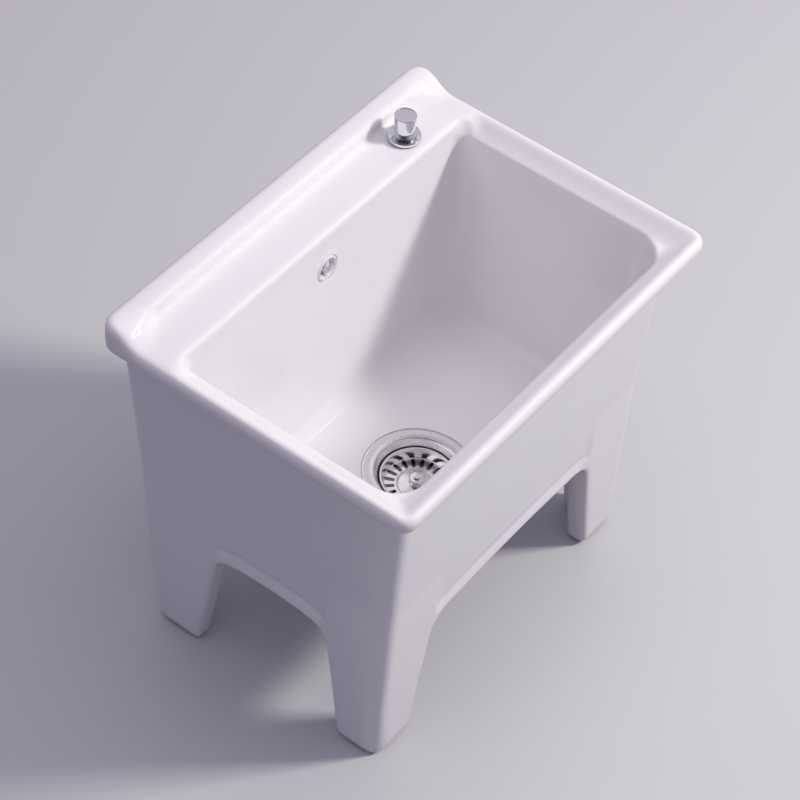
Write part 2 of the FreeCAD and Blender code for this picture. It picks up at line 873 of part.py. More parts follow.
def waste_body():
    socket_bore = neck_outer_radius + thread_gap
    shell = turned(drain_x, drain_y, [
        (socket_bore, cup_floor_under - seat_gap),
        (socket_bore + socket_wall, cup_floor_under - seat_gap),
        (socket_bore + socket_wall, chamber_roof_top),
        (chamber_outer, chamber_roof_top),
        (chamber_outer, chamber_bottom + body_flange_thickness),
        (body_flange_radius, chamber_bottom + body_flange_thickness),
        (body_flange_radius, chamber_bottom),
        (chamber_radius, chamber_bottom),
        (chamber_radius, chamber_top),
        (neck_bore_radius, chamber_top),
        (neck_bore_radius, chamber_roof_top),
        (socket_bore, chamber_roof_top),
    ])
    boss_start = Vector(drain_x + chamber_radius + chamber_wall / 2, drain_y, link_z)
    right = Vector(1, 0, 0)
    boss = pipe_along(right, boss_start, gland_boss_radius, boss_end - boss_start.x)
    spigot_start = Vector(drain_x, drain_y + chamber_radius + chamber_wall / 2, spigot_z)
    back = Vector(0, 1, 0)
    spigot = pipe_along(back, spigot_start, spigot_radius, spigot_end - spigot_start.y)
    shell = shell.fuse(boss).fuse(spigot)
    for ear in hinge_ears():
        shell = shell.fuse(ear)
    seat = pipe_along(right, Vector(gland_seat, drain_y, link_z), ferrule_radius + thread_gap,
                      gland_seat_depth + overrun)
    wire_hole = pipe_along(right, Vector(drain_x + chamber_radius - overrun, drain_y, link_z),
                           sheath_bore_radius, gland_boss_length + chamber_wall)
    spigot_bore = pipe_along(back, Vector(drain_x, drain_y + chamber_radius - overrun, spigot_z),
                             spigot_radius - spigot_wall, spigot_length + 2 * chamber_wall + overrun)
    pin_hole = pipe_along(back, Vector(lever_x, drain_y - chamber_radius / 2, lever_z),
                          hinge_pin_radius + thread_gap, chamber_radius)
    shell = shell.cut(seat).cut(wire_hole).cut(spigot_bore).cut(pin_hole)
    for hole in cover_screw_cylinders(cover_screw_radius + thread_gap, body_flange_thickness + overrun,
                                      chamber_bottom - overrun / 2):
        shell = shell.cut(hole)
    return shell


def cover_screw_cylinders(radius, height, z):
    circle = body_flange_radius - cover_screw_edge
    turn = math.radians(180 / cover_screws)
    first = cylinder(drain_x + circle * math.cos(turn), drain_y + circle * math.sin(turn), z, radius, height)
    return around(first, drain_x, drain_y, cover_screws)


def cover_seal():
    return ring(drain_x, drain_y, cover_top, body_flange_radius - 2 * cover_screw_edge, chamber_radius,
                cover_seal_thickness)


def body_cover():
    cover = turned(drain_x, drain_y, [
        (outlet_bore_radius, cover_top - cover_thickness / 2),
        (chamber_radius, cover_top),
        (body_flange_radius, cover_top),
        (body_flange_radius, cover_bottom),
        (outlet_radius, cover_bottom),
        (outlet_radius, outlet_end),
        (outlet_bore_radius, outlet_end),
    ])
    for hole in cover_screw_cylinders(cover_screw_radius + thread_gap, cover_thickness + 2 * overrun,
                                      cover_bottom - overrun):
        cover = cover.cut(hole)
    return cover


def cover_screw_set():
    shanks = cover_screw_cylinders(cover_screw_radius, cover_screw_length, cover_bottom)
    heads = cover_screw_cylinders(cover_screw_head_radius, cover_screw_head_height,
                                  cover_bottom - cover_screw_head_height)
    screws = [shank.fuse(head).removeSplitter() for shank, head in zip(shanks, heads)]
    return Part.Compound([screw.Solids[0] for screw in screws])


# Outlet

def tail_washer():
    return ring(drain_x, drain_y, outlet_end - tail_washer_height, outlet_radius - thread_gap,
                tail_land_radius + thread_gap, tail_washer_height)


def tail_nut():
    outer = outlet_radius + thread_gap + tail_nut_wall
    low = outlet_end - tail_washer_height - tail_nut_lip
    high = low + tail_nut_height
    nut = turned(drain_x, drain_y, [
        (tail_land_radius + seat_gap, low),
        (outer, low),
        (outer, high),
        (outlet_radius + thread_gap, high),
        (outlet_radius + thread_gap, low + tail_nut_lip),
        (tail_land_radius + seat_gap, low + tail_nut_lip),
    ])
    rib = cylinder(drain_x + outer, drain_y, low, tail_nut_rib_radius, tail_nut_height)
    bore = cylinder(drain_x, drain_y, low - overrun, outer - tail_nut_rib_radius / 2,
                    tail_nut_height + 2 * overrun)
    for piece in around(rib.cut(bore), drain_x, drain_y, tail_nut_ribs):
        nut = nut.fuse(piece)
    return nut.removeSplitter()


def tailpiece():
    top = outlet_end + tail_reach
    land = outlet_end - tail_washer_height - tail_nut_lip - seat_gap
    return turned(drain_x, drain_y, [
        (tail_radius - tail_wall, top - tail_length),
        (tail_radius, top - tail_length),
        (tail_radius, land - tail_land_lead),
        (tail_land_radius, land),
        (tail_land_radius, top - tail_collar_height),
        (tail_collar_radius, top - tail_collar_height),
        (tail_collar_radius, top),
        (tail_radius - tail_wall, top),
    ])


# Lift pin, bridge, bell crank and wire

def lift_pin():
    pin = turned(drain_x, drain_y, [
        (0, lift_pin_bottom),
        (lift_pin_tip_radius, lift_pin_bottom),
        (lift_pin_radius, lift_pin_bottom + lift_pin_tip_length),
        (lift_pin_radius, lift_pin_top),
        (0, lift_pin_top),
    ])
    collar = cylinder(drain_x, drain_y, bridge_top + seat_gap, lift_collar_radius, lift_collar_height)
    return pin.fuse(collar).removeSplitter()


def pin_guide():
    low = bridge_top - bridge_height
    reach = chamber_radius - seat_gap
    bar = box(drain_x - bridge_width / 2, drain_x + bridge_width / 2, drain_y - reach, drain_y + reach,
              low, bridge_top)
    bar = bar.common(cylinder(drain_x, drain_y, low, reach, bridge_height))
    bar = bar.fuse(cylinder(drain_x, drain_y, low, bridge_boss_radius, bridge_height))
    bore = cylinder(drain_x, drain_y, low - overrun, lift_pin_radius + running_gap,
                    bridge_height + 2 * overrun)
    return bar.cut(bore).removeSplitter()


def arm(x0, z0, x1, z1, radius, y0, y1):
    """Flat bar with round ends between two points of the XZ plane."""
    length = math.hypot(x1 - x0, z1 - z0)
    bar = box(0, length, y0, y1, -radius, radius)
    bar.rotate(Vector(0, 0, 0), Vector(0, 1, 0), -math.degrees(math.atan2(z1 - z0, x1 - x0)))
    bar.translate(Vector(x0, 0, z0))
    back = Vector(0, 1, 0)
    for x, z in ((x0, z0), (x1, z1)):
        bar = bar.fuse(pipe_along(back, Vector(x, y0, z), radius, y1 - y0))
    return bar


def rocker_lever():
    low = drain_y - lever_half_width
    high = drain_y + lever_half_width
    back = Vector(0, 1, 0)
    lever = arm(lever_x, lever_z, nose_x, nose_z, lever_nose_radius, low, high)
    lever = lever.fuse(pipe_along(back, Vector(lever_x, low, lever_z), lever_hub_radius, high - low))
    for y0, y1 in ((low, drain_y - lever_cheek_gap), (drain_y + lever_cheek_gap, high)):
        lever = lever.fuse(arm(lever_x, lever_z, link_x, link_z, lever_top_radius, y0, y1))
    for x, z, radius in ((lever_x, lever_z, hinge_pin_radius + running_gap),
                         (link_x, link_z, link_pin_radius + thread_gap)):
        start = Vector(x, low - overrun, z)
        lever = lever.cut(pipe_along(back, start, radius, high - low + 2 * overrun))
    return lever.removeSplitter()


def rocker_pin():
    reach = lever_half_width + seat_gap + hinge_ear_thickness
    return pipe_along(Vector(0, 1, 0), Vector(lever_x, drain_y - reach, lever_z), hinge_pin_radius, 2 * reach)


def link_pin():
    return pipe_along(Vector(0, 1, 0), Vector(link_x, drain_y - lever_half_width, link_z),
                      link_pin_radius, 2 * lever_half_width)


def pull_wire_lower():
    half = eye_length / 2
    eye = box(link_x - half, link_x + half, drain_y - eye_width / 2, drain_y + eye_width / 2,
              link_z - eye_height / 2, link_z + eye_height / 2)
    swing = lever_wire_arm * (1 - math.cos(half_turn))
    slot_half = link_pin_radius + seat_gap
    slot = box(link_x - slot_half, link_x + slot_half, drain_y - eye_width, drain_y + eye_width,
               link_z - slot_half - swing, link_z + slot_half + swing)
    wire_end = sheath_end + wire_tail
    wire = pipe_along(Vector(1, 0, 0), Vector(link_x + half - wire_radius, drain_y, link_z), wire_radius,
                      wire_end - link_x - half + wire_radius)
    return eye.cut(slot).fuse(wire)


# Cable

def ferrule(start, axis):
    """Cap with a wire hole, and a sleeve over the sheath; start is the cap's outer face."""
    body = pipe_along(axis, start, ferrule_radius, ferrule_length)
    wire_hole = pipe_along(axis, start - axis * overrun, sheath_bore_radius, ferrule_length)
    socket = pipe_along(axis, start + axis * ferrule_cap, sheath_radius + thread_gap, ferrule_length)
    return body.cut(wire_hole).cut(socket)


def sheath_ferrules():
    upper = ferrule(Vector(knob_x, knob_y, stop_seat), Vector(0, 0, -1))
    lower = ferrule(Vector(gland_seat, drain_y, link_z), Vector(1, 0, 0))
    return Part.Compound([upper.Solids[0], lower.Solids[0]])


def cable_sheath():
    points = [
        Vector(knob_x, knob_y, sheath_start),
        Vector(knob_x, knob_y, sheath_start - cable_drop),
        Vector(knob_x - cable_shift_in, knob_y - cable_shift_forward, underside + cable_shift_over),
        Vector(knob_x - cable_turn_in, knob_y - cable_turn_forward, link_z),
        Vector(boss_end + cable_lead, drain_y, link_z),
        Vector(sheath_end, drain_y, link_z),
    ]
    return tube("cable_sheath", points, sheath_radius, sheath_bore_radius)


def cable_gland():
    right = Vector(1, 0, 0)
    outer = gland_boss_radius + thread_gap + gland_nut_wall
    start = boss_end + gland_cap - gland_nut_length
    nut = pipe_along(right, Vector(start, drain_y, link_z), outer, gland_nut_length)
    thread = pipe_along(right, Vector(start - overrun, drain_y, link_z), gland_boss_radius + thread_gap,
                        boss_end - start + overrun)
    hole = pipe_along(right, Vector(start, drain_y, link_z), ferrule_radius + thread_gap,
                      gland_nut_length + overrun)
    return nut.cut(thread).cut(hole)


# Knob and its guide

def knob():
    grip = turned(knob_x, knob_y, [
        (0, knob_bottom),
        (knob_base_radius - knob_edge_round, knob_bottom),
        (knob_base_radius, knob_bottom + knob_edge_round),
        (knob_top_radius, knob_top - knob_edge_round),
        (knob_top_radius - knob_edge_round, knob_top),
        (0, knob_top),
    ])
    socket = cylinder(knob_x, knob_y, knob_bottom - overrun, rod_radius + thread_gap,
                      knob_socket_depth + overrun + thread_gap)
    start = Vector(knob_x, knob_y, knob_bottom + grub_height_in_knob)
    screw_hole = pipe_along(Vector(0, 1, 0), start, grub_radius + thread_gap, knob_top_radius + overrun)
    return grip.cut(socket).cut(screw_hole)


def knob_screw():
    start = Vector(knob_x, knob_y + rod_radius + thread_gap, knob_bottom + grub_height_in_knob)
    return pipe_along(Vector(0, 1, 0), start, grub_radius, grub_length)


def knob_flange():
    bore = guide_radius + thread_gap
    rim_in = knob_flange_radius - knob_flange_rim
    top = gasket_top + knob_flange_height
    return turned(knob_x, knob_y, [
        (bore, gasket_top),
        (knob_flange_radius, gasket_top),
        (knob_flange_radius, top - knob_flange_rim / 2),
        (knob_flange_radius - knob_flange_rim / 2, top),
        (rim_in, top - knob_flange_rim / 4),
        (guide_head_radius + seat_gap, plate_top),
        (bore, plate_top),
    ])


def knob_gasket():
    return ring(knob_x, knob_y, rim_top, knob_flange_radius - knob_gasket_inset,
                guide_radius + thread_gap, knob_gasket_thickness)


def knob_guide():
    bore = rod_radius + running_gap
    return turned(knob_x, knob_y, [
        (bore, guide_bottom),
        (guide_radius, guide_bottom),
        (guide_radius, plate_top),
        (guide_head_radius, plate_top),
        (guide_head_radius, guide_head_top),
        (bore, guide_head_top),
    ])


def knob_washer():
    return ring(knob_x, knob_y, deck_underside - knob_washer_thickness, knob_washer_radius,
                guide_radius + thread_gap, knob_washer_thickness)


def knob_nut():
    z = deck_underside - knob_washer_thickness - knob_nut_height
    nut = hexagon(knob_x, knob_y, z, knob_nut_flats, knob_nut_height)
    return nut.cut(cylinder(knob_x, knob_y, z - overrun, guide_radius + thread_gap,
                            knob_nut_height + 2 * overrun))


def knob_rod():
    rod = cylinder(knob_x, knob_y, rod_bottom, rod_radius, rod_top - rod_bottom)
    return rod.cut(cylinder(knob_x, knob_y, rod_bottom - overrun, wire_radius + thread_gap,
                            rod_wire_depth + overrun))


def pull_wire_upper():
    top = rod_bottom + rod_wire_depth - thread_gap
    bottom = sheath_start - wire_tail
    return cylinder(knob_x, knob_y, bottom, wire_radius, top - bottom)


def cable_stop():
    bore = guide_radius + thread_gap
    outer = bore + stop_wall
    seat = ferrule_radius + thread_gap
    return turned(knob_x, knob_y, [
        (outer, stop_top),
        (bore, stop_top),
        (bore, guide_bottom),
        (stop_cavity_radius, guide_bottom),
        (stop_cavity_radius, stop_floor_top),
        (sheath_bore_radius, stop_floor_top),
        (sheath_bore_radius, stop_seat),
        (seat, stop_seat),
        (seat, stop_bottom),
        (outer, stop_bottom),
    ])


# Overflow

def overflow_ring():
    back = Vector(0, 1, 0)
    face = Vector(0, overflow_face, overflow_height)
    seat = Vector(0, overflow_seat, overflow_height)
    sleeve = overflow_bore_radius + overflow_sleeve_wall
    body = pipe_along(back, face, overflow_ring_radius, overflow_ring_thickness)
    body = body.fuse(pipe_along(back, seat, sleeve, overflow_sleeve_length))
    body = body.cut(pipe_along(back, face - back * overrun, overflow_bore_radius,
                               overflow_ring_thickness + overflow_sleeve_length + 2 * overrun))
    half = overflow_bridge_width / 2
    reach = overflow_bore_radius + overflow_sleeve_wall / 2
    bridge = box(-half, half, overflow_face + overflow_proud, overflow_seat,
                 overflow_height - reach, overflow_height + reach)
    hub = pipe_along(back, face + back * overflow_proud, overflow_screw_head_radius + overflow_proud,
                     overflow_ring_thickness - overflow_proud)
    hole = pipe_along(back, face - back * overrun, overflow_screw_radius + thread_gap,
                      overflow_ring_thickness + 2 * overrun)
    return body.fuse(bridge).fuse(hub).cut(hole)


def overflow_screw():
    back = Vector(0, 1, 0)
    head_start = Vector(0, overflow_face + overflow_proud - overflow_screw_head_height, overflow_height)
    shank_start = Vector(0, overflow_face + overflow_proud, overflow_height)
    length = elbow_front + elbow_depth - elbow_wall - shank_start.y
    head = pipe_along(back, head_start, overflow_screw_head_radius, overflow_screw_head_height)
    return head.fuse(pipe_along(back, shank_start, overflow_screw_radius, length)).removeSplitter()


def overflow_gasket():
    back = Vector(0, 1, 0)
    start = Vector(0, overflow_wall_back + seat_gap, overflow_height)
    depth = overflow_gasket_thickness - seat_gap
    outer = pipe_along(back, start, overflow_gasket_radius, depth)
    return outer.cut(pipe_along(back, start - back * overrun, overflow_hole_radius, depth + 2 * overrun))


def overflow_elbow():
    back = Vector(0, 1, 0)
    down = Vector(0, 0, -1)
    start = Vector(0, elbow_front, overflow_height)
    spigot_top = Vector(0, elbow_y, overflow_height - elbow_radius / 2)
    spigot_drop = spigot_top.z - elbow_spigot_end
    body = pipe_along(back, start, elbow_radius, elbow_depth)
    body = body.fuse(pipe_along(down, spigot_top, spigot_radius, spigot_drop))
    body = body.cut(pipe_along(back, start - back * overrun, elbow_radius - elbow_wall,
                               elbow_depth - elbow_wall + overrun))
    body = body.cut(pipe_along(down, spigot_top, spigot_radius - spigot_wall, spigot_drop + overrun))
    post_y = elbow_front + elbow_depth / 2
    post = pipe_along(back, Vector(0, post_y, overflow_height), 2 * overflow_screw_radius,
                      elbow_front + elbow_depth - post_y)
    post_hole = pipe_along(back, Vector(0, elbow_front - overrun, overflow_height),
                           overflow_screw_radius + thread_gap, elbow_depth + overrun - elbow_wall + seat_gap)
    return body.fuse(post).cut(post_hole)


def overflow_hose():
    points = [
        Vector(0, elbow_y, elbow_spigot_end + hose_overlap),
        Vector(0, elbow_y, spigot_z),
        Vector(0, spigot_end - hose_overlap, spigot_z),
    ]
    return tube("overflow_hose", points, hose_radius, hose_bore_radius)


def hose_clip(centre, axis, ear_direction):
    start = centre - axis * (clip_width / 2)
    inner = hose_radius + thread_gap
    band = pipe_along(axis, start, inner + clip_thickness, clip_width)
    band = band.cut(pipe_along(axis, start - axis * overrun, inner, clip_width + 2 * overrun))
    ear_start = start + ear_direction * (inner + clip_thickness / 2)
    across = axis.cross(ear_direction) * (clip_thickness / 2)
    corners = [ear_start - across, ear_start + across]
    corners += [corner + axis * clip_width for corner in reversed(corners)]
    ear = Part.Face(Part.makePolygon(corners + corners[:1])).extrude(ear_direction * clip_ear)
    return band.fuse(ear).removeSplitter()


def hose_clips():
    upper = hose_clip(Vector(0, elbow_y, elbow_spigot_end + hose_overlap - clip_setback - clip_width / 2),
                      Vector(0, 0, 1), Vector(1, 0, 0))
    lower = hose_clip(Vector(0, spigot_end - hose_overlap + clip_setback + clip_width / 2, spigot_z),
                      Vector(0, 1, 0), Vector(1, 0, 0))
    return Part.Compound([upper.Solids[0], lower.Solids[0]])


pieces = [
    tub, waste_flange, flange_seal, body_seal, lock_nut, basket, basket_knob, basket_stem, basket_seal,
    seal_nut, neck_seal, waste_body, cover_seal, body_cover, tail_washer, tail_nut, tailpiece, lift_pin,
    pin_guide, rocker_lever, rocker_pin, link_pin, pull_wire_lower, sheath_ferrules, cable_sheath,
    cable_gland, knob, knob_screw, knob_flange, knob_gasket, knob_guide, knob_washer, knob_nut, knob_rod,
    pull_wire_upper, cable_stop, overflow_ring, overflow_screw, overflow_gasket, overflow_elbow,
    overflow_hose, hose_clips,
]
for piece in pieces:
    save(piece.__name__, piece())
save("cover_screws", cover_screw_set())
print("knob travel", knob_travel, "lever turn", lever_turn, "lift", lift_travel)
print("lever axis", round(lever_x, 3), drain_y, round(lever_z, 3), "link", round(link_x, 3), round(link_z, 3))
print("tail bottom", round(outlet_end + tail_reach - tail_length, 3), "underside", underside)
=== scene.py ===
import bpy
import bmesh
import math
import numpy as np
from mathutils import Vector, Matrix


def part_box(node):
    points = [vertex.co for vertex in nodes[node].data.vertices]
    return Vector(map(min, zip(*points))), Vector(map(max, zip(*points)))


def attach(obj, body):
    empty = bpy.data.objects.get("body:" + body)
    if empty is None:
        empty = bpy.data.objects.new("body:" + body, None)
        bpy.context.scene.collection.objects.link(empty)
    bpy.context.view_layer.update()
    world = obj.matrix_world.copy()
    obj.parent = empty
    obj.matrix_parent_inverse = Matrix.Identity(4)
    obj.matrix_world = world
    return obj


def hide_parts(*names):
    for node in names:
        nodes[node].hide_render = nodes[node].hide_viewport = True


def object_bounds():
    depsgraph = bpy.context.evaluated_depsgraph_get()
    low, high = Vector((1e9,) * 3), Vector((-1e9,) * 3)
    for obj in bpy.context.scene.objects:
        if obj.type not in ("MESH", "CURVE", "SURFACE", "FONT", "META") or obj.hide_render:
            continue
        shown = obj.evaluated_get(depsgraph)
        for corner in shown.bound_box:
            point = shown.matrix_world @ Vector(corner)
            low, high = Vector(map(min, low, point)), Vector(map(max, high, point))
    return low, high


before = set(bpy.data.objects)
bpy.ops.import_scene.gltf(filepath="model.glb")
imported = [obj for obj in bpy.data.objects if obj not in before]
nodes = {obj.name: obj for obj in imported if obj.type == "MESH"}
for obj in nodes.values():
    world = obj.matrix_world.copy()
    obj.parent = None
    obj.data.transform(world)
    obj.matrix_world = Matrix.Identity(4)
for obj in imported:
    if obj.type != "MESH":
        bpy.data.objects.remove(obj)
cadLow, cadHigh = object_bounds()
print("frame loaded", len(nodes), "nodes")


def boxMiddle(node):
    low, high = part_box(node)
    return (low + high) / 2


# where the fittings sit, read from the CAD pieces
drainCentre = boxMiddle("waste_flange")[:2]
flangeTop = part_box("waste_flange")[1].z
knobCentre = boxMiddle("knob_flange")[:2]
overflowCentre = boxMiddle("overflow_ring")
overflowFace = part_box("overflow_ring")[0].y

# camera, measured from the sink's edges in the photograph
cameraView = {
    "target": (0.11647, 0.07972, 0.09659),
    "distance": 2.9907,
    "azimuth": -56.133,
    "elevation": 47.752,
    "roll": 4.994,
    "lens": 128.83,
    "sensor": 36.0,
    "nearest": 0.05,
    "farthest": 60.0,
}


def makeCamera():
    turn = math.radians(cameraView["azimuth"])
    tilt = math.radians(cameraView["elevation"])
    roll = math.radians(cameraView["roll"])
    back = Vector((math.sin(turn) * math.cos(tilt), -math.cos(turn) * math.cos(tilt), math.sin(tilt)))
    level = Vector((math.cos(turn), math.sin(turn), 0))
    upright = back.cross(level)
    right = level * math.cos(roll) + upright * math.sin(roll)
    up = upright * math.cos(roll) - level * math.sin(roll)
    data = bpy.data.cameras.new("photoCamera")
    data.lens = cameraView["lens"]
    data.sensor_width = cameraView["sensor"]
    data.clip_start = cameraView["nearest"]
    data.clip_end = cameraView["farthest"]
    camera = bpy.data.objects.new("photoCamera", data)
    bpy.context.scene.collection.objects.link(camera)
    place = Vector(cameraView["target"]) + back * cameraView["distance"]
    camera.matrix_world = Matrix((
        (right.x, up.x, back.x, place.x),
        (right.y, up.y, back.y, place.y),
        (right.z, up.z, back.z, place.z),
        (0, 0, 0, 1),
    ))
    bpy.context.scene.camera = camera


makeCamera()
print("camera placed")


# small tools for node trees

def freshMaterial(name):
    material = bpy.data.materials.new(name)
    material.use_nodes = True
    tree = material.node_tree
    tree.nodes.clear()
    output = tree.nodes.new("ShaderNodeOutputMaterial")
    shader = tree.nodes.new("ShaderNodeBsdfPrincipled")
    tree.links.new(shader.outputs["BSDF"], output.inputs["Surface"])
    return material, tree, shader


def addNode(tree, kind, **settings):
    node = tree.nodes.new(kind)
    for name, value in settings.items():
        if hasattr(node, name):
            setattr(node, name, value)
        else:
            node.inputs[name.replace("_", " ")].default_value = value
    return node


def greaterOf(tree, first, second):
    node = addNode(tree, "ShaderNodeMath", operation="MAXIMUM")
    tree.links.new(first, node.inputs[0])
    tree.links.new(second, node.inputs[1])
    return node.outputs[0]


def newGroup(name, inputs, outputs):
    group = bpy.data.node_groups.new(name, "ShaderNodeTree")
    for label, kind, value in inputs:
        socket = group.interface.new_socket(name=label, in_out="INPUT", socket_type=kind)
        socket.default_value = value
    for label, kind in outputs:
        group.interface.new_socket(name=label, in_out="OUTPUT", socket_type=kind)
    return group, group.nodes.new("NodeGroupInput"), group.nodes.new("NodeGroupOutput")


def placeGroup(tree, group, **values):
    node = tree.nodes.new("ShaderNodeGroup")
    node.node_tree = group
    for name, value in values.items():
        node.inputs[name].default_value = value
    return node


# mottle: slow colour change, fine speckle and an uneven roughness over any finish
mottleForm = {
    "fineTimes": 9.0,
    "broadDetail": 4.0,
    "broadRoughness": 0.55,
    "fineDetail": 3.0,
    "fineRoughness": 0.6,
    "noiseRange": (0.3, 0.7),
}


def makeMottleGroup():
    group, inner, outer = newGroup("mottle", [
        ("Light", "NodeSocketColor", (0.8, 0.8, 0.8, 1)),
        ("Dark", "NodeSocketColor", (0.7, 0.7, 0.7, 1)),
        ("Scale", "NodeSocketFloat", 12.0),
        ("Smooth", "NodeSocketFloat", 0.2),
        ("Rough", "NodeSocketFloat", 0.4),
    ], [("Color", "NodeSocketColor"), ("Roughness", "NodeSocketFloat"), ("Height", "NodeSocketFloat")])
    place = addNode(group, "ShaderNodeTexCoord")
    broad = addNode(group, "ShaderNodeTexNoise", Detail=mottleForm["broadDetail"],
                    Roughness=mottleForm["broadRoughness"])
    times = addNode(group, "ShaderNodeMath", operation="MULTIPLY")
    times.inputs[1].default_value = mottleForm["fineTimes"]
    fine = addNode(group, "ShaderNodeTexNoise", Detail=mottleForm["fineDetail"],
                   Roughness=mottleForm["fineRoughness"])
    colour = addNode(group, "ShaderNodeMix", data_type="RGBA")
    spread = addNode(group, "ShaderNodeMapRange")
    rough = addNode(group, "ShaderNodeMapRange")
    for node in (spread, rough):
        node.inputs["From Min"].default_value = mottleForm["noiseRange"][0]
        node.inputs["From Max"].default_value = mottleForm["noiseRange"][1]
    link = group.links.new
    link(place.outputs["Object"], broad.inputs["Vector"])
    link(place.outputs["Object"], fine.inputs["Vector"])
    link(inner.outputs["Scale"], broad.inputs["Scale"])
    link(inner.outputs["Scale"], times.inputs[0])
    link(times.outputs[0], fine.inputs["Scale"])
    link(broad.outputs["Fac"], spread.inputs["Value"])
    link(spread.outputs["Result"], colour.inputs[0])
    link(inner.outputs["Dark"], colour.inputs[6])
    link(inner.outputs["Light"], colour.inputs[7])
    link(fine.outputs["Fac"], rough.inputs["Value"])
    link(inner.outputs["Smooth"], rough.inputs["To Min"])
    link(inner.outputs["Rough"], rough.inputs["To Max"])
    link(colour.outputs[2], outer.inputs["Color"])
    link(rough.outputs["Result"], outer.inputs["Roughness"])
    link(fine.outputs["Fac"], outer.inputs["Height"])
    return group


# spun: fine rings round an upright axis, as a lathe or polishing wheel leaves them
spunForm = {"detail": 2.0, "roughness": 0.5}


def makeSpunGroup():
    group, inner, outer = newGroup("spun", [
        ("Centre", "NodeSocketVector", (0, 0, 0)),
        ("Rings", "NodeSocketFloat", 1500.0),
    ], [("Height", "NodeSocketFloat")])
    place = addNode(group, "ShaderNodeTexCoord")
    shift = addNode(group, "ShaderNodeVectorMath", operation="SUBTRACT")
    apart = addNode(group, "ShaderNodeSeparateXYZ")
    flat = addNode(group, "ShaderNodeCombineXYZ")
    radius = addNode(group, "ShaderNodeVectorMath", operation="LENGTH")
    along = addNode(group, "ShaderNodeCombineXYZ")
    rings = addNode(group, "ShaderNodeTexNoise", noise_dimensions="2D", Detail=spunForm["detail"],
                    Roughness=spunForm["roughness"])
    link = group.links.new
    link(place.outputs["Object"], shift.inputs[0])
    link(inner.outputs["Centre"], shift.inputs[1])
    link(shift.outputs[0], apart.inputs[0])
    link(apart.outputs["X"], flat.inputs["X"])
    link(apart.outputs["Y"], flat.inputs["Y"])
    link(flat.outputs[0], radius.inputs[0])
    link(radius.outputs["Value"], along.inputs["X"])
    link(apart.outputs["Z"], along.inputs["Y"])
    link(along.outputs[0], rings.inputs["Vector"])
    link(inner.outputs["Rings"], rings.inputs["Scale"])
    link(rings.outputs["Fac"], outer.inputs["Height"])
    return group


mottleGroup = makeMottleGroup()
spunGroup = makeSpunGroup()
print("shader groups built")

# glaze of the tub, with bare fired clay under the feet
glazeLook = {
    "light": (0.925, 0.908, 0.930, 1),
    "dark": (0.915, 0.898, 0.921, 1),
    "bisque": (0.70, 0.655, 0.60, 1),
    "roughness": (0.055, 0.11),
    "mottleScale": 7.0,
    "waveScale": 26.0,
    "waveDetail": 1.5,
    "waveRoughness": 0.4,
    "waveDepth": 0.00016,
    "footBare": 0.0028,
    "bareRagged": 0.0012,
    "raggedScale": 160.0,
    "raggedDetail": 2.0,
    "bareRoughness": 0.85,
}


def makeGlaze():
    material, tree, shader = freshMaterial("white_glaze")
    mottle = placeGroup(tree, mottleGroup, Light=glazeLook["light"], Dark=glazeLook["dark"],
                        Scale=glazeLook["mottleScale"], Smooth=glazeLook["roughness"][0],
                        Rough=glazeLook["roughness"][1])
    place = addNode(tree, "ShaderNodeTexCoord")
    apart = addNode(tree, "ShaderNodeSeparateXYZ")
    rawEdge = addNode(tree, "ShaderNodeTexNoise", Scale=glazeLook["raggedScale"],
                      Detail=glazeLook["raggedDetail"])
    lift = addNode(tree, "ShaderNodeMath", operation="MULTIPLY_ADD")
    lift.inputs[1].default_value = glazeLook["bareRagged"]
    lift.inputs[2].default_value = glazeLook["footBare"]
    bare = addNode(tree, "ShaderNodeMath", operation="LESS_THAN")
    colour = addNode(tree, "ShaderNodeMix", data_type="RGBA")
    colour.inputs[7].default_value = glazeLook["bisque"]
    rough = addNode(tree, "ShaderNodeMix", data_type="FLOAT")
    rough.inputs[3].default_value = glazeLook["bareRoughness"]
    wave = addNode(tree, "ShaderNodeTexNoise", Scale=glazeLook["waveScale"], Detail=glazeLook["waveDetail"],
                   Roughness=glazeLook["waveRoughness"])
    bump = addNode(tree, "ShaderNodeBump", Strength=1.0)
    bump.inputs["Distance"].default_value = glazeLook["waveDepth"]
    link = tree.links.new
    link(place.outputs["Object"], apart.inputs[0])
    link(place.outputs["Object"], rawEdge.inputs["Vector"])
    link(place.outputs["Object"], wave.inputs["Vector"])
    link(rawEdge.outputs["Fac"], lift.inputs[0])
    link(apart.outputs["Z"], bare.inputs[0])
    link(lift.outputs[0], bare.inputs[1])
    link(bare.outputs[0], colour.inputs[0])
    link(mottle.outputs["Color"], colour.inputs[6])
    link(bare.outputs[0], rough.inputs[0])
    link(mottle.outputs["Roughness"], rough.inputs[2])
    link(wave.outputs["Fac"], bump.inputs["Height"])
    link(colour.outputs[2], shader.inputs["Base Color"])
    link(rough.outputs[0], shader.inputs["Roughness"])
    link(bump.outputs["Normal"], shader.inputs["Normal"])
    return material


# spun stainless: the pressed flange is satin, the basket brighter
steelLooks = {
    "satin_steel": {"light": (0.93, 0.915, 0.91, 1), "dark": (0.88, 0.865, 0.86, 1),
                    "roughness": (0.22, 0.29), "ringDepth": 0.00001},
    "bright_steel": {"light": (0.97, 0.96, 0.96, 1), "dark": (0.93, 0.92, 0.92, 1),
                     "roughness": (0.12, 0.20), "ringDepth": 0.000006},
}
steelGrain = {"mottleScale": 16.0, "rings": 1500.0}


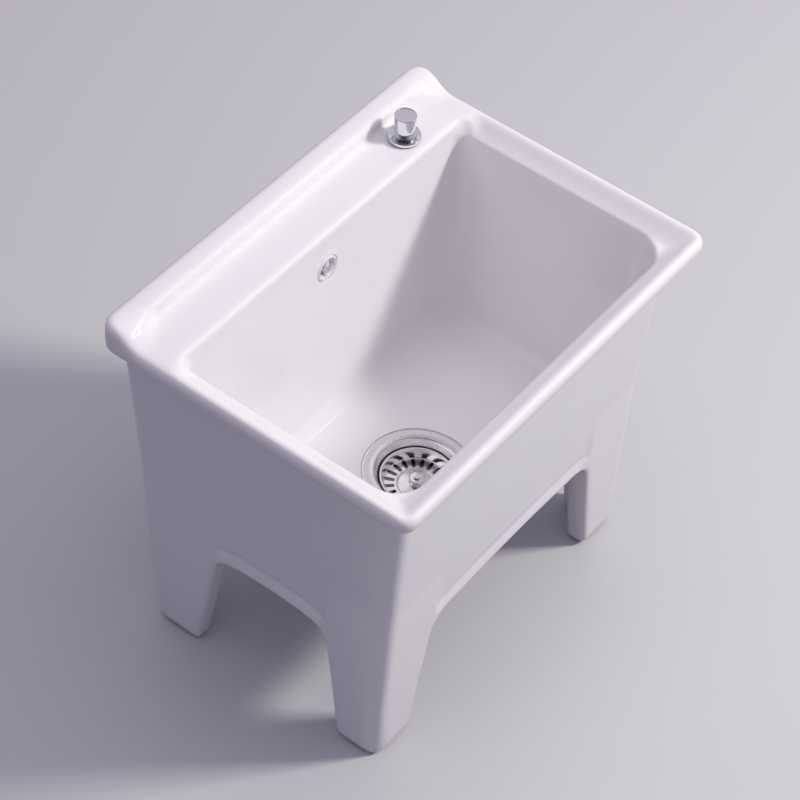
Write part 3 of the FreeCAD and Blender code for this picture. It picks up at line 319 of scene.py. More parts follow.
def makeSteel(name, centre, look):
    material, tree, shader = freshMaterial(name)
    shader.inputs["Metallic"].default_value = 1.0
    mottle = placeGroup(tree, mottleGroup, Light=look["light"], Dark=look["dark"],
                        Scale=steelGrain["mottleScale"], Smooth=look["roughness"][0],
                        Rough=look["roughness"][1])
    spun = placeGroup(tree, spunGroup, Centre=(centre[0], centre[1], 0), Rings=steelGrain["rings"])
    bump = addNode(tree, "ShaderNodeBump", Strength=1.0)
    bump.inputs["Distance"].default_value = look["ringDepth"]
    link = tree.links.new
    link(spun.outputs["Height"], bump.inputs["Height"])
    link(mottle.outputs["Color"], shader.inputs["Base Color"])
    link(mottle.outputs["Roughness"], shader.inputs["Roughness"])
    link(bump.outputs["Normal"], shader.inputs["Normal"])
    return material


# plain finishes: two tones, how smooth and how rough, grain size and depth, metal or not
plainLooks = {
    "chrome": {"light": (0.88, 0.88, 0.90, 1), "dark": (0.82, 0.825, 0.85, 1),
               "roughness": (0.03, 0.10), "grain": 30.0, "depth": 0.000004, "metal": 1.0},
    "seal_rubber": {"light": (0.050, 0.050, 0.052, 1), "dark": (0.030, 0.030, 0.032, 1),
                    "roughness": (0.55, 0.80), "grain": 60.0, "depth": 0.00004, "metal": 0.0},
    "white_trim": {"light": (0.84, 0.82, 0.86, 1), "dark": (0.81, 0.79, 0.84, 1),
                   "roughness": (0.10, 0.18), "grain": 25.0, "depth": 0.000006, "metal": 0.0},
    "waste_plastic": {"light": (0.74, 0.735, 0.72, 1), "dark": (0.69, 0.685, 0.67, 1),
                      "roughness": (0.35, 0.55), "grain": 70.0, "depth": 0.00003, "metal": 0.0},
    "dark_plastic": {"light": (0.050, 0.050, 0.055, 1), "dark": (0.035, 0.035, 0.038, 1),
                     "roughness": (0.38, 0.58), "grain": 80.0, "depth": 0.00003, "metal": 0.0},
    "hose_plastic": {"light": (0.52, 0.53, 0.545, 1), "dark": (0.47, 0.48, 0.49, 1),
                     "roughness": (0.40, 0.60), "grain": 50.0, "depth": 0.00004, "metal": 0.0},
    "sheath_plastic": {"light": (0.040, 0.040, 0.044, 1), "dark": (0.026, 0.026, 0.028, 1),
                       "roughness": (0.30, 0.50), "grain": 90.0, "depth": 0.00002, "metal": 0.0},
    "turned_brass": {"light": (0.72, 0.55, 0.27, 1), "dark": (0.58, 0.43, 0.20, 1),
                     "roughness": (0.22, 0.42), "grain": 45.0, "depth": 0.00001, "metal": 1.0},
    "plain_steel": {"light": (0.62, 0.615, 0.61, 1), "dark": (0.50, 0.495, 0.49, 1),
                    "roughness": (0.22, 0.40), "grain": 55.0, "depth": 0.00001, "metal": 1.0},
}


def makePlain(name, look):
    material, tree, shader = freshMaterial(name)
    shader.inputs["Metallic"].default_value = look["metal"]
    mottle = placeGroup(tree, mottleGroup, Light=look["light"], Dark=look["dark"], Scale=look["grain"],
                        Smooth=look["roughness"][0], Rough=look["roughness"][1])
    bump = addNode(tree, "ShaderNodeBump", Strength=1.0)
    bump.inputs["Distance"].default_value = look["depth"]
    link = tree.links.new
    link(mottle.outputs["Color"], shader.inputs["Base Color"])
    link(mottle.outputs["Roughness"], shader.inputs["Roughness"])
    link(mottle.outputs["Height"], bump.inputs["Height"])
    link(bump.outputs["Normal"], shader.inputs["Normal"])
    return material


finishes = {name: makePlain(name, look) for name, look in plainLooks.items()}
for name, look in steelLooks.items():
    finishes[name] = makeSteel(name, drainCentre, look)
finishes["glaze"] = makeGlaze()
print("finishes made", len(finishes))


# tools for pieces
reachShare = 0.49  # a corner's arc takes at most this share of a side
tinyRadius = 1e-7


def roundProfile(corners, steps=6):
    # corners are (radius, height, rounding); each corner becomes a short arc
    points = []
    count = len(corners)
    for index in range(count):
        x, y, size = corners[index]
        here = Vector((x, y))
        before = Vector(corners[index - 1][:2])
        after = Vector(corners[(index + 1) % count][:2])
        if size <= 0:
            points.append((x, y))
            continue
        inward = before - here
        outward = after - here
        reach = min(size, inward.length * reachShare, outward.length * reachShare)
        first = here + inward.normalized() * reach
        last = here + outward.normalized() * reach
        for step in range(steps + 1):
            share = step / steps
            point = first * (1 - share) ** 2 + here * 2 * share * (1 - share) + last * share ** 2
            points.append((point.x, point.y))
    return points


def ringMesh(name, profile, centre, segments=128, closed=True):
    # a solid of revolution about the upright through centre
    form = bmesh.new()
    rings = []
    for radius, height in profile:
        if radius < tinyRadius:
            rings.append([form.verts.new((centre[0], centre[1], height))])
            continue
        ring = []
        for step in range(segments):
            turn = 2 * math.pi * step / segments
            ring.append(form.verts.new((centre[0] + radius * math.cos(turn),
                                        centre[1] + radius * math.sin(turn), height)))
        rings.append(ring)
    pairs = list(zip(rings, rings[1:]))
    if closed:
        pairs.append((rings[-1], rings[0]))
    for lower, upper in pairs:
        if len(lower) == 1 and len(upper) == 1:
            continue
        for step in range(segments):
            following = (step + 1) % segments
            corners = [lower[step % len(lower)], lower[following % len(lower)],
                       upper[following % len(upper)], upper[step % len(upper)]]
            unique = []
            for corner in corners:
                if corner not in unique:
                    unique.append(corner)
            form.faces.new(unique)
    bmesh.ops.recalc_face_normals(form, faces=form.faces)
    mesh = bpy.data.meshes.new(name)
    form.to_mesh(mesh)
    form.free()
    return mesh


def prismMesh(name, outline, low, high):
    # an upright prism over a flat outline
    form = bmesh.new()
    lower = [form.verts.new((x, y, low)) for x, y in outline]
    upper = [form.verts.new((x, y, high)) for x, y in outline]
    form.faces.new(lower)
    form.faces.new(upper)
    for index in range(len(outline)):
        following = (index + 1) % len(outline)
        form.faces.new((lower[index], lower[following], upper[following], upper[index]))
    bmesh.ops.recalc_face_normals(form, faces=form.faces)
    mesh = bpy.data.meshes.new(name)
    form.to_mesh(mesh)
    form.free()
    return mesh


def addPiece(name, mesh, finish, body, slot, *stoodFor, sharp=35.0):
    piece = bpy.data.objects.new(name, mesh)
    bpy.context.scene.collection.objects.link(piece)
    for face in mesh.polygons:
        face.use_smooth = True
    mesh.set_sharp_from_angle(angle=math.radians(sharp))
    mesh.materials.clear()
    mesh.materials.append(finishes[finish])
    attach(piece, body)
    if stoodFor:
        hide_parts(*stoodFor)
    return piece


def standIn(name, mesh):
    shape = bpy.data.objects.new(name, mesh)
    bpy.context.scene.collection.objects.link(shape)
    return shape


def modified(mesh, kind, **settings):
    # the mesh with one modifier done
    shape = standIn(mesh.name, mesh)
    modifier = shape.modifiers.new("step", kind)
    for name, value in settings.items():
        setattr(modifier, name, value)
    graph = bpy.context.evaluated_depsgraph_get()
    result = bpy.data.meshes.new_from_object(shape.evaluated_get(graph))
    bpy.data.objects.remove(shape)
    return result


def cutBy(mesh, tool):
    shape = standIn(tool.name, tool)
    result = modified(mesh, "BOOLEAN", operation="DIFFERENCE", solver="EXACT", object=shape)
    bpy.data.objects.remove(shape)
    return result


def joinMeshes(name, meshes):
    form = bmesh.new()
    for mesh in meshes:
        form.from_mesh(mesh)
    joined = bpy.data.meshes.new(name)
    form.to_mesh(joined)
    form.free()
    return joined


def meshPoints(mesh):
    points = np.zeros(len(mesh.vertices) * 3)
    mesh.vertices.foreach_get("co", points)
    return points.reshape(-1, 3)


def setPoints(mesh, points):
    mesh.vertices.foreach_set("co", points.ravel())
    mesh.update()


softPace = 0.6  # share of the way to its neighbours' middle that a point goes in one step
unionWeight = 0.8


def softenMesh(mesh, weights, steps):
    points = meshPoints(mesh)
    count = len(points)
    ends = np.zeros(len(mesh.edges) * 2, dtype=np.int64)
    mesh.edges.foreach_get("vertices", ends)
    ends = ends.reshape(-1, 2)
    near = np.bincount(ends.ravel(), minlength=count)[:, None]
    for step in range(steps):
        total = np.zeros_like(points)
        for axis in range(3):
            total[:, axis] = (np.bincount(ends[:, 0], weights=points[ends[:, 1], axis], minlength=count)
                              + np.bincount(ends[:, 1], weights=points[ends[:, 0], axis], minlength=count))
        points += (total / near - points) * weights[:, None] * softPace
    setPoints(mesh, points)


def softUnion(name, meshes, grid, steps):
    # several closed forms become one soft moulded form
    mesh = modified(joinMeshes(name, meshes), "REMESH", mode="VOXEL", voxel_size=grid)
    softenMesh(mesh, np.full(len(mesh.vertices), unionWeight), steps)
    return mesh


def layDown(mesh, centre, depth):
    # an upright round mesh made at the origin is turned to point along +Y from the given place
    place = Matrix.Translation(Vector((centre[0], depth, centre[2])))
    mesh.transform(place @ Matrix.Rotation(-math.pi / 2, 4, "X"))
    return mesh


# the ceramic tub: the CAD form, with every edge softened as slip casting and glaze leave it
tubForm = {
    "grid": 0.0022,
    "steps": 14,
    "recessRadius": 0.0565,
    "recessDrop": 0.0029,
    "holeRadius": 0.045,
    "knobHole": 0.0105,
    "overflowRecess": 0.0151,
    "overflowHole": 0.0114,
    "overflowSeat": 0.0024,
    "overflowWall": 0.0008,
    "sharpAngle": 38.0,
}

# how strongly each zone is softened, from 0 to 1
softness = {
    "rim": 0.42,
    "deck": 0.28,
    "rimUnder": 0.55,
    "bowl": 0.55,
    "skirt": 0.40,
    "legs": 0.85,
}

# where the zones meet, and over what length one turns into the next
zones = {
    "deckFront": 0.075, "deckFade": 0.015,
    "bowlTop": 0.378, "bowlFade": 0.02,
    "innerHalfX": 0.195, "innerFront": -0.137, "innerBack": 0.10, "innerBelow": 0.01,
    "kneeHeight": 0.238, "kneeFade": 0.02,
    "archTop": 0.150, "archFade": 0.03,
    "edgeX": 0.227, "edgeY": 0.167, "edgeFade": 0.004,
    "underTop": 0.406, "underFade": 0.006, "underLow": 0.385,
}

# the skirt's lower edge flares out in a band round three of the arches; axes are 0 for x and 1 for y
endBand = {
    "face": 0, "along": 1, "skin": 0.2034, "first": -0.0714, "last": 0.0604, "crown": 0.1565, "flare": 0.0042,
}
frontBand = {
    "face": 1, "along": 0, "skin": 0.1448, "first": -0.1265, "last": 0.1265, "crown": 0.1590, "flare": 0.0036,
}
archBands = [(endBand, -1), (endBand, 1), (frontBand, -1)]
bandForm = {"height": 0.0185, "rise": 0.007, "endFade": 0.1}


def flareBands(mesh):
    points = meshPoints(mesh)
    height = bandForm["height"]
    for band, side in archBands:
        outward = points[:, band["face"]] * side
        middle = (band["first"] + band["last"]) / 2
        half = (band["last"] - band["first"]) / 2
        share = (points[:, band["along"]] - middle) / half
        over = points[:, 2] - (band["crown"] - bandForm["rise"] * share ** 2)
        chosen = (outward > band["skin"]) & (np.abs(share) < 1) & (over < height)
        lean = np.clip(over / height, 0, 1) * np.clip((1 - np.abs(share)) / bandForm["endFade"], 0, 1)
        points[chosen, band["face"]] -= (side * band["flare"] * lean)[chosen]
    setPoints(mesh, points)


# the rim's top, from its crest inward to the bowl's crease
slopeForm = {
    "top": 0.415,
    "crest": 0.0075,
    "run": 0.0215,
    "drop": 0.0138,
    "straight": 0.7,  # share of the fall that is straight; the rest is curved
    "back": 0.099,
    "backFade": 0.016,
    "slack": 0.0005,
}


def slopeRim(mesh):
    # it falls at the front and the sides, and fades out at the deck
    points = meshPoints(mesh)
    x, y, z = points.T
    form = slopeForm
    inward = np.minimum(cadHigh[0] - np.abs(x), y - cadLow[1])
    share = np.clip((inward - form["crest"]) / form["run"], 0, 1)
    curved = 1 - form["straight"]
    drop = form["drop"] * (form["straight"] * share + curved * np.sin(share * math.pi / 2))
    fade = np.clip((form["back"] - y) / form["backFade"], 0, 1)
    level = form["top"] - drop * fade
    chosen = (z > form["top"] - form["drop"] - form["slack"]) & (y < form["back"])
    points[:, 2] = np.where(chosen, np.minimum(z, level), z)
    setPoints(mesh, points)


# square lower edges that the photograph shows as full rounds: the rim's and the feet's
# corner is the plan's corner radius, and the rim's back edge stays square between its ends, up to freeBack
lowRounds = [
    {"halfX": cadHigh[0], "front": cadLow[1], "back": cadHigh[1], "corner": 0.016, "low": 0.393,
     "size": 0.010, "freeBack": 0.217},
    {"halfX": 0.2055, "front": -0.1444, "back": 0.1414, "corner": 0.010, "low": 0.0,
     "size": 0.011, "freeBack": 0.0},
]
roundLimits = {
    "past": 1.05,  # points up to this share of the size away still count as part of the edge
    "backFrom": 0.14,
    "backFade": 0.006,
}
footForm = {"halfX": 0.2055, "front": -0.1445, "back": 0.1415, "lean": 0.035, "corner": 0.022,
            "height": 0.075}
tinyReach = 1e-9


def reachOf(first, second):
    return np.hypot(np.maximum(first, tinyReach), np.maximum(second, tinyReach))


def roundLowEdges(mesh):
    # each square corner of the section becomes a quarter round of the given size
    points = meshPoints(mesh)
    for edge in lowRounds:
        x, y, z = points.T.copy()
        size = edge["size"]
        corner = edge["corner"]
        limit = size * roundLimits["past"]
        middle = (edge["front"] + edge["back"]) / 2
        overX = np.abs(x) - (edge["halfX"] - corner)
        overY = np.abs(y - middle) - ((edge["back"] - edge["front"]) / 2 - corner)
        both = (overX > 0) & (overY > 0)
        reach = reachOf(overX, overY)
        alongX = np.where(both, overX / reach, overX >= overY) * np.sign(x)
        alongY = np.where(both, overY / reach, overY > overX) * np.sign(y - middle)
        outward = size + np.where(both, reach, np.maximum(overX, overY)) - corner
        downward = edge["low"] + size - z
        chosen = (outward > 0) & (downward > 0) & (outward < limit) & (downward < limit)
        shrink = np.maximum(outward, downward) / reachOf(outward, downward) - 1
        ends = np.clip((np.abs(x) - edge["freeBack"]) / roundLimits["backFade"], 0, 1)
        free = np.where(y > roundLimits["backFrom"], ends, 1) * chosen
        points[:, 0] += alongX * outward * shrink * free
        points[:, 1] += alongY * outward * shrink * free
        points[:, 2] -= downward * shrink * free
    setPoints(mesh, points)


def roundFootCorners(mesh):
    # the legs' outer upright edges open to a larger radius towards the floor
    points = meshPoints(mesh)
    x, y, z = points.T
    fade = np.clip(1 - z / footForm["height"], 0, 1)
    lean = footForm["lean"] * z
    middle = (footForm["front"] + footForm["back"]) / 2
    halfY = (footForm["back"] - footForm["front"]) / 2
    corner = footForm["corner"]
    overX = np.abs(x) - (footForm["halfX"] + lean - corner)
    overY = np.abs(y - middle) - (halfY + lean - corner)
    reach = reachOf(overX, overY)
    excess = np.where((overX > 0) & (overY > 0), np.maximum(reach - corner, 0), 0) * fade
    points[:, 0] -= np.sign(x) * overX / reach * excess
    points[:, 1] -= np.sign(y - middle) * overY / reach * excess
    setPoints(mesh, points)


def tubWeights(mesh):
    x, y, z = meshPoints(mesh).T
    onDeck = np.clip((y - zones["deckFront"]) / zones["deckFade"], 0, 1)
    weights = softness["rim"] + (softness["deck"] - softness["rim"]) * onDeck
    inBowl = np.clip((zones["bowlTop"] - z) / zones["bowlFade"], 0, 1)
    weights += (softness["bowl"] - weights) * inBowl
    inside = ((np.abs(x) < zones["innerHalfX"]) & (y > zones["innerFront"]) & (y < zones["innerBack"])
              & (z > flangeTop - zones["innerBelow"]))
    onSkirt = np.clip((zones["kneeHeight"] - z) / zones["kneeFade"], 0, 1) * (1 - inside)
    weights += (softness["skirt"] - weights) * onSkirt
    onLegs = np.clip((zones["archTop"] - z) / zones["archFade"], 0, 1)
    weights += (softness["legs"] - weights) * onLegs
    outside = np.maximum(np.abs(x) - zones["edgeX"], np.abs(y) - zones["edgeY"])
    edge = np.clip(outside / zones["edgeFade"], 0, 1)
    under = edge * np.clip((zones["underTop"] - z) / zones["underFade"], 0, 1) * (z > zones["underLow"])
    weights += (softness["rimUnder"] - weights) * under
    return weights


# plugs close the CAD tub's holes before it is softened, and cuts open them again with crisp edges
plugForm = {
    "floorRadius": 0.0605,
    "floorDepth": 0.012,
    "wallRadius": 0.019,
    "wallDepth": 0.0098,
    "deckRadius": 0.014,
    "deckLow": 0.4012,
    "deckTop": 0.415,
}
cutForm = {
    "drainLow": 0.14,
    "drainTop": 0.19,
    "overflowReach": 0.03,
    "knobLow": 0.39,
    "knobTop": 0.43,
}


def rodProfile(radius, low, high):
    return [(0, low), (radius, low), (radius, high), (0, high)]


def steppedProfile(lowRadius, low, step, highRadius, high):
    return [(0, low), (lowRadius, low), (lowRadius, step), (highRadius, step), (highRadius, high), (0, high)]


def makeTub():
    source = nodes["tub"].data.copy()
    source.materials.clear()
    floorPlug = rodProfile(plugForm["floorRadius"], flangeTop - plugForm["floorDepth"], flangeTop)
    wallPlug = rodProfile(plugForm["wallRadius"], 0, plugForm["wallDepth"])
    deckPlug = rodProfile(plugForm["deckRadius"], plugForm["deckLow"], plugForm["deckTop"])
    plugs = [
        ringMesh("floorPlug", floorPlug, drainCentre, 96, False),
        layDown(ringMesh("wallPlug", wallPlug, (0, 0), 64, False),
                overflowCentre, overflowFace + tubForm["overflowWall"]),
        ringMesh("deckPlug", deckPlug, knobCentre, 64, False),
    ]
    # an even mesh, laid on the CAD faces so that its grid doesn't show
    whole = joinMeshes("sink_tub", [source] + plugs)
    mesh = modified(whole.copy(), "REMESH", mode="VOXEL", voxel_size=tubForm["grid"])
    form = standIn("tubForm", whole)
    mesh = modified(mesh, "SHRINKWRAP", target=form, wrap_method="NEAREST_SURFACEPOINT")
    bpy.data.objects.remove(form)
    print("tub grid", len(mesh.vertices), "points")
    flareBands(mesh)
    slopeRim(mesh)
    roundLowEdges(mesh)
    roundFootCorners(mesh)
    softenMesh(mesh, tubWeights(mesh), tubForm["steps"])
    deep = cutForm["overflowReach"]
    drainCut = steppedProfile(tubForm["holeRadius"], cutForm["drainLow"], flangeTop - tubForm["recessDrop"],
                              tubForm["recessRadius"], cutForm["drainTop"])
    overflowCut = [(radius, -height) for radius, height in
                   steppedProfile(tubForm["overflowHole"], -deep, 0, tubForm["overflowRecess"], deep)]
    knobCut = rodProfile(tubForm["knobHole"], cutForm["knobLow"], cutForm["knobTop"])
    tools = [
        ringMesh("drainCut", drainCut, drainCentre, 160, False),
        layDown(ringMesh("overflowCut", overflowCut, (0, 0), 96, False),
                overflowCentre, overflowFace + tubForm["overflowSeat"]),
        ringMesh("knobCut", knobCut, knobCentre, 64, False),
    ]
    mesh = cutBy(mesh, joinMeshes("tubCuts", tools))
    addPiece("sink_tub_body", mesh, "glaze", "sink", "glaze", "tub", sharp=tubForm["sharpAngle"])
    print("tub softened", len(mesh.polygons), "faces")


makeTub()

# pull knob and its dished plate
knobForm = {
    "topRadius": 0.0113,
    "baseRadius": 0.0103,
    "edge": 0.0011,
    "ringWidth": 0.0019,
    "ringDrop": 0.00045,
    "footInset": 0.002,
}
plateForm = {
    "bore": 0.00856,
    "radius": 0.0170,
    "beadOuter": 0.0158,
    "beadInner": 0.0148,
    "dishRadius": 0.0112,
    "dishDrop": 0.0024,
}


def makeKnob():
    low, high = (corner.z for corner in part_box("knob"))
    base = knobForm["baseRadius"]
    wide = knobForm["topRadius"]
    edge = knobForm["edge"]
    face = high - knobForm["ringDrop"]
    profile = roundProfile([
        (0, low, 0), (base - knobForm["footInset"], low, 0.0004), (base, low, edge),
        (wide, high, edge), (wide - knobForm["ringWidth"], high, 0.0005),
        (wide - knobForm["ringWidth"] - 0.0005, face, 0.0005), (0, face + 0.0001, 0),
    ], 8)
    addPiece("pull_knob_grip", ringMesh("pull_knob_grip", profile, knobCentre, 144, False),
             "chrome", "pull_knob", "chrome", "knob")
    foot, top = (corner.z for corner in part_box("knob_flange"))
    form = plateForm
    dish = top - form["dishDrop"]
    plate = roundProfile([
        (form["bore"], foot, 0), (form["radius"], foot, 0.0004), (form["radius"], top - 0.0008, 0.0012),
        (form["beadOuter"], top, 0.0010), (form["beadInner"], top - 0.0006, 0.0012),
        (form["dishRadius"], dish, 0.0018), (form["bore"], dish, 0),
    ], 8)
    addPiece("pull_knob_plate", ringMesh("pull_knob_plate", plate, knobCentre, 144),
             "chrome", "sink", "chrome", "knob_flange")
    print("knob made")


makeKnob()

# stainless waste: dished flange and cup; rows are (radius, drop below the top, rounding)
flangeForm = {
    "face": [
        (0.0562, 0.0014, 0.0003), (0.0562, 0.0005, 0.0006), (0.0546, 0.0000, 0.0012),
        (0.0479, 0.0007, 0.0030), (0.0445, 0.0001, 0.0014), (0.0431, 0.0012, 0.0012),
        (0.0400, 0.0070, 0.0014), (0.0397, 0.0090, 0.0010), (0.0397, 0.0360, 0.0040),
        (0.0280, 0.0480, 0.0030), (0.0200, 0.0480, 0.0010),
    ],
    "underside": [
        (0.0240, 0.0494, 0.0010), (0.0280, 0.0494, 0.0030), (0.0411, 0.0374, 0.0040),
        (0.0411, 0.0089, 0.0010), (0.0448, 0.0014, 0.0008),
    ],
    "neckBore": 0.0200,
    "neckRadius": 0.0240,
    "neckRound": 0.0003,
}


def droppedRows(rows, top):
    return [(radius, top - drop, size) for radius, drop, size in rows]


def makeFlange():
    form = flangeForm
    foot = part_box("waste_flange")[0].z
    neck = [(form[radius], foot, form["neckRound"]) for radius in ("neckBore", "neckRadius")]
    profile = roundProfile(droppedRows(form["face"], flangeTop) + neck
                           + droppedRows(form["underside"], flangeTop), 6)
    addPiece("waste_flange_plate", ringMesh("waste_flange_plate", profile, drainCentre, 160),
             "satin_steel", "sink", "steel", "waste_flange")


makeFlange()

# slotted basket, drawn from one sheet with a rolled rim; rows as in the flange
basketForm = {
    "inside": [
        (0.0040, 0.0095, 0.0002), (0.01023, 0.0099, 0.0040), (0.0186, 0.0110, 0.0014),
        (0.0204, 0.0131, 0.0014), (0.0338, 0.0131, 0.0020), (0.0350, 0.0022, 0.0020),
        (0.0353, 0.0003, 0.0009), (0.0365, 0.0000, 0.0010), (0.0376, 0.0000, 0.0010),
        (0.0382, 0.0012, 0.0010), (0.0382, 0.0030, 0.0004),
    ],
    "outside": [
        (0.0363, 0.0030, 0.0010), (0.0345, 0.0141, 0.0024), (0.0201, 0.0141, 0.0014),
        (0.0183, 0.0120, 0.0014), (0.01023, 0.0109, 0.0040), (0.0040, 0.0105, 0.0002),
    ],
    "slots": 20,
    "slotTurn": 8.0,
    "slotWidth": 0.0042,
    "slotInner": 0.0222,
    "slotOuter": 0.0334,
    "slotLow": 0.0161,
    "slotHigh": 0.0111,
}


def turnedOutline(points, turn):
    # points about the drain's middle, turned round it
    return [(drainCentre[0] + x * math.cos(turn) - y * math.sin(turn),
             drainCentre[1] + x * math.sin(turn) + y * math.cos(turn)) for x, y in points]


def slotMesh(turn, low, high):
    # a long hole with round ends
    half = basketForm["slotWidth"] / 2
    steps = 10
    points = []
    for centre, start in ((basketForm["slotOuter"] - half, -0.5), (basketForm["slotInner"] + half, 0.5)):
        for step in range(steps + 1):
            angle = math.pi * (start + step / steps)
            points.append((centre + half * math.cos(angle), half * math.sin(angle)))
    return prismMesh("slot", turnedOutline(points, turn), low, high)


def makeBasket():
    form = basketForm
    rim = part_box("basket")[1].z
    profile = roundProfile(droppedRows(form["inside"] + form["outside"], rim), 6)
    shell = ringMesh("strainer_basket", profile, drainCentre, 180)
    low = rim - form["slotLow"]
    high = rim - form["slotHigh"]
    first = math.radians(form["slotTurn"])
    slots = [slotMesh(first + 2 * math.pi * step / form["slots"], low, high) for step in range(form["slots"])]
    shell = cutBy(shell, joinMeshes("slots", slots))
    addPiece("strainer_basket", shell, "bright_steel", "strainer", "steel", "basket")


makeBasket()

# the basket's grip: a dome on a short neck with three spot-welded feet
gripForm = {
    "radius": 0.0087,
    "neck": 0.0034,
    "neckHeight": 0.0040,
    "feet": 3,
    "footReach": 0.0094,
    "footWidth": 0.0034,
    "footHeight": 0.0010,
    "grid": 0.00032,
    "steps": 5,
    "domeShare": 0.66,
}


def makeGrip():
    form = gripForm
    low, high = (corner.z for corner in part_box("basket_knob"))
    neckTop = low + form["neckHeight"]
    middle = (neckTop + high) / 2
    dome = roundProfile([
        (0, low, 0), (form["neck"] + 0.0010, low, 0.0002), (form["neck"], low + 0.0012, 0.0010),
        (form["neck"], neckTop, 0.0010), (form["radius"] - 0.0008, neckTop + 0.0006, 0.0008),
        (form["radius"], middle, 0.0024), (form["radius"] * form["domeShare"], high - 0.0008, 0.0030),
        (0, high + 0.0001, 0),
    ], 8)
    parts = [ringMesh("gripDome", dome, drainCentre, 96, False)]
    half = form["footWidth"] / 2
    reach = form["footReach"]
    foot = [(0, -half), (reach - half, -half), (reach, 0), (reach - half, half), (0, half)]
    for step in range(form["feet"]):
        outline = turnedOutline(foot, 2 * math.pi * step / form["feet"])
        parts.append(prismMesh("gripFoot", outline, low, low + form["footHeight"]))
    mesh = softUnion("basket_grip", parts, form["grid"], form["steps"])
    addPiece("basket_grip", mesh, "bright_steel", "strainer", "steel", "basket_knob", sharp=60.0)


makeGrip()
print("waste made")

# overflow rosette: a soft white ring with a funnel, crossed by one bar
overflowForm = {
    "radius": 0.0147,
    "crest": 0.0024,
    "crestRadius": 0.0124,
    "throat": 0.0068,
    "throatDepth": 0.0040,
    "sleeve": 0.0110,
    "sleeveBore": 0.0072,
    "sleeveLength": 0.0090,
    "crestHalf": 0.0006,
    "foot": 0.00005,
    "barWidth": 0.0052,
    "barShare": 0.7,  # of the ring's radius
    "barFlare": 0.35,
    "barFlatness": 0.6,
    "barLift": 0.0002,
    "barSteps": 8,
    "grid": 0.00040,
    "steps": 5,
}


def makeOverflow():
    form = overflowForm
    seat = overflowFace + form["crest"]
    crest = -form["crest"]
    foot = -form["foot"]
    half = form["crestHalf"]
    ring = roundProfile([
        (form["radius"], foot, 0.0002), (form["radius"], crest * 0.45, 0.0006),
        (form["crestRadius"] + half, crest, 0.0008), (form["crestRadius"] - half, crest, 0.0008),
        (form["throat"], form["throatDepth"], 0.0020),
        (form["sleeveBore"], form["sleeveLength"], 0.0002),
        (form["sleeve"], form["sleeveLength"], 0.0002), (form["sleeve"], foot, 0.0002),
    ], 6)
    # the bar widens towards the middle and is flattened front to back
    steps = form["barSteps"]
    reach = form["radius"] * form["barShare"]
    barProfile = [(0, -reach)]
    for step in range(-steps, steps + 1):
        swell = 1 + form["barFlare"] * math.cos(math.pi * step / (2 * steps)) ** 2
        barProfile.append((form["barWidth"] / 2 * swell, reach * step / steps))
    barProfile.append((0, reach))
    bar = ringMesh("bar", barProfile, (0, 0), 48, False)
    bar.transform(Matrix.Translation(Vector((overflowCentre[0], seat - form["barLift"], overflowCentre[2])))
                  @ Matrix.Diagonal(Vector((1, form["barFlatness"], 1, 1))))
    parts = [layDown(ringMesh("rosette", ring, (0, 0), 96), overflowCentre, seat), bar]
    mesh = softUnion("overflow_rosette", parts, form["grid"], form["steps"])
    addPiece("overflow_rosette", mesh, "white_trim", "sink", "white_plastic", "overflow_ring", sharp=60.0)
    print("overflow made")


makeOverflow()

# finishes of the CAD pieces that stay as they are
nodeFinishes = {
    "bright_steel": ["basket_stem", "seal_nut"],
    "chrome": ["knob_guide", "knob_rod", "overflow_screw"],
    "plain_steel": ["knob_screw", "cover_screws", "rocker_pin", "link_pin",
                    "lift_pin", "hose_clips", "pull_wire_upper", "pull_wire_lower", "knob_washer"],
    "seal_rubber": ["flange_seal", "body_seal", "basket_seal", "neck_seal", "cover_seal", "tail_washer",
                    "knob_gasket", "overflow_gasket"],
    "waste_plastic": ["lock_nut", "waste_body", "body_cover", "tail_nut", "tailpiece", "overflow_elbow"],
    "dark_plastic": ["pin_guide", "rocker_lever", "cable_stop"],
    "hose_plastic": ["overflow_hose"],
    "sheath_plastic": ["cable_sheath"],
    "turned_brass": ["cable_gland", "sheath_ferrules", "knob_nut"],
}
for finish, names in nodeFinishes.items():
    for name in names:
        mesh = nodes[name].data
        mesh.materials.clear()
        mesh.materials.append(finishes[finish])
print("CAD pieces finished")

# studio: pale floor, soft lamps, pale surround that is dimmer overhead behind the camera
studio = {
    "floorSeen": (0.66, 0.655, 0.68, 1),
    "floorBounce": (0.25, 0.245, 0.28, 1),
    "floorRoughness": 0.55,
    "ambientColour": (0.83, 0.78, 1.04, 1),
    "ambient": 0.36,
    "horizon": (0.74, 0.72, 0.77, 1),
    "overDim": (0.040, 0.037, 0.045, 1),
    "overBright": (0.54, 0.512, 0.590, 1),
    "brightSide": (0.83, 0.55, 0),
    "brightRange": (-0.45, 0.5),
    "horizonRange": (0.12, 0.42),
    "floorReach": 9.0,
    "lampAim": (0, 0, 0.2),
}
lampColour = (1.0, 0.985, 0.915)
lamps = [
    {"name": "keyLamp", "place": (1.71, -1.95, 2.40), "size": 0.50, "power": 65.0, "glossy": False},
    {"name": "topLamp", "place": (0.10, -0.10, 2.90), "size": 2.00, "power": 15.0, "glossy": False},
    {"name": "glintLamp", "place": (1.71, -1.95, 2.40), "size": 0.75, "power": 10.0, "glossy": True},
]


def seenRay(tree):
    # 1 for the rays that show the surround: camera, glossy and through glass
    path = addNode(tree, "ShaderNodeLightPath")
    direct = greaterOf(tree, path.outputs["Is Camera Ray"], path.outputs["Is Glossy Ray"])
    return greaterOf(tree, direct, path.outputs["Is Transmission Ray"])


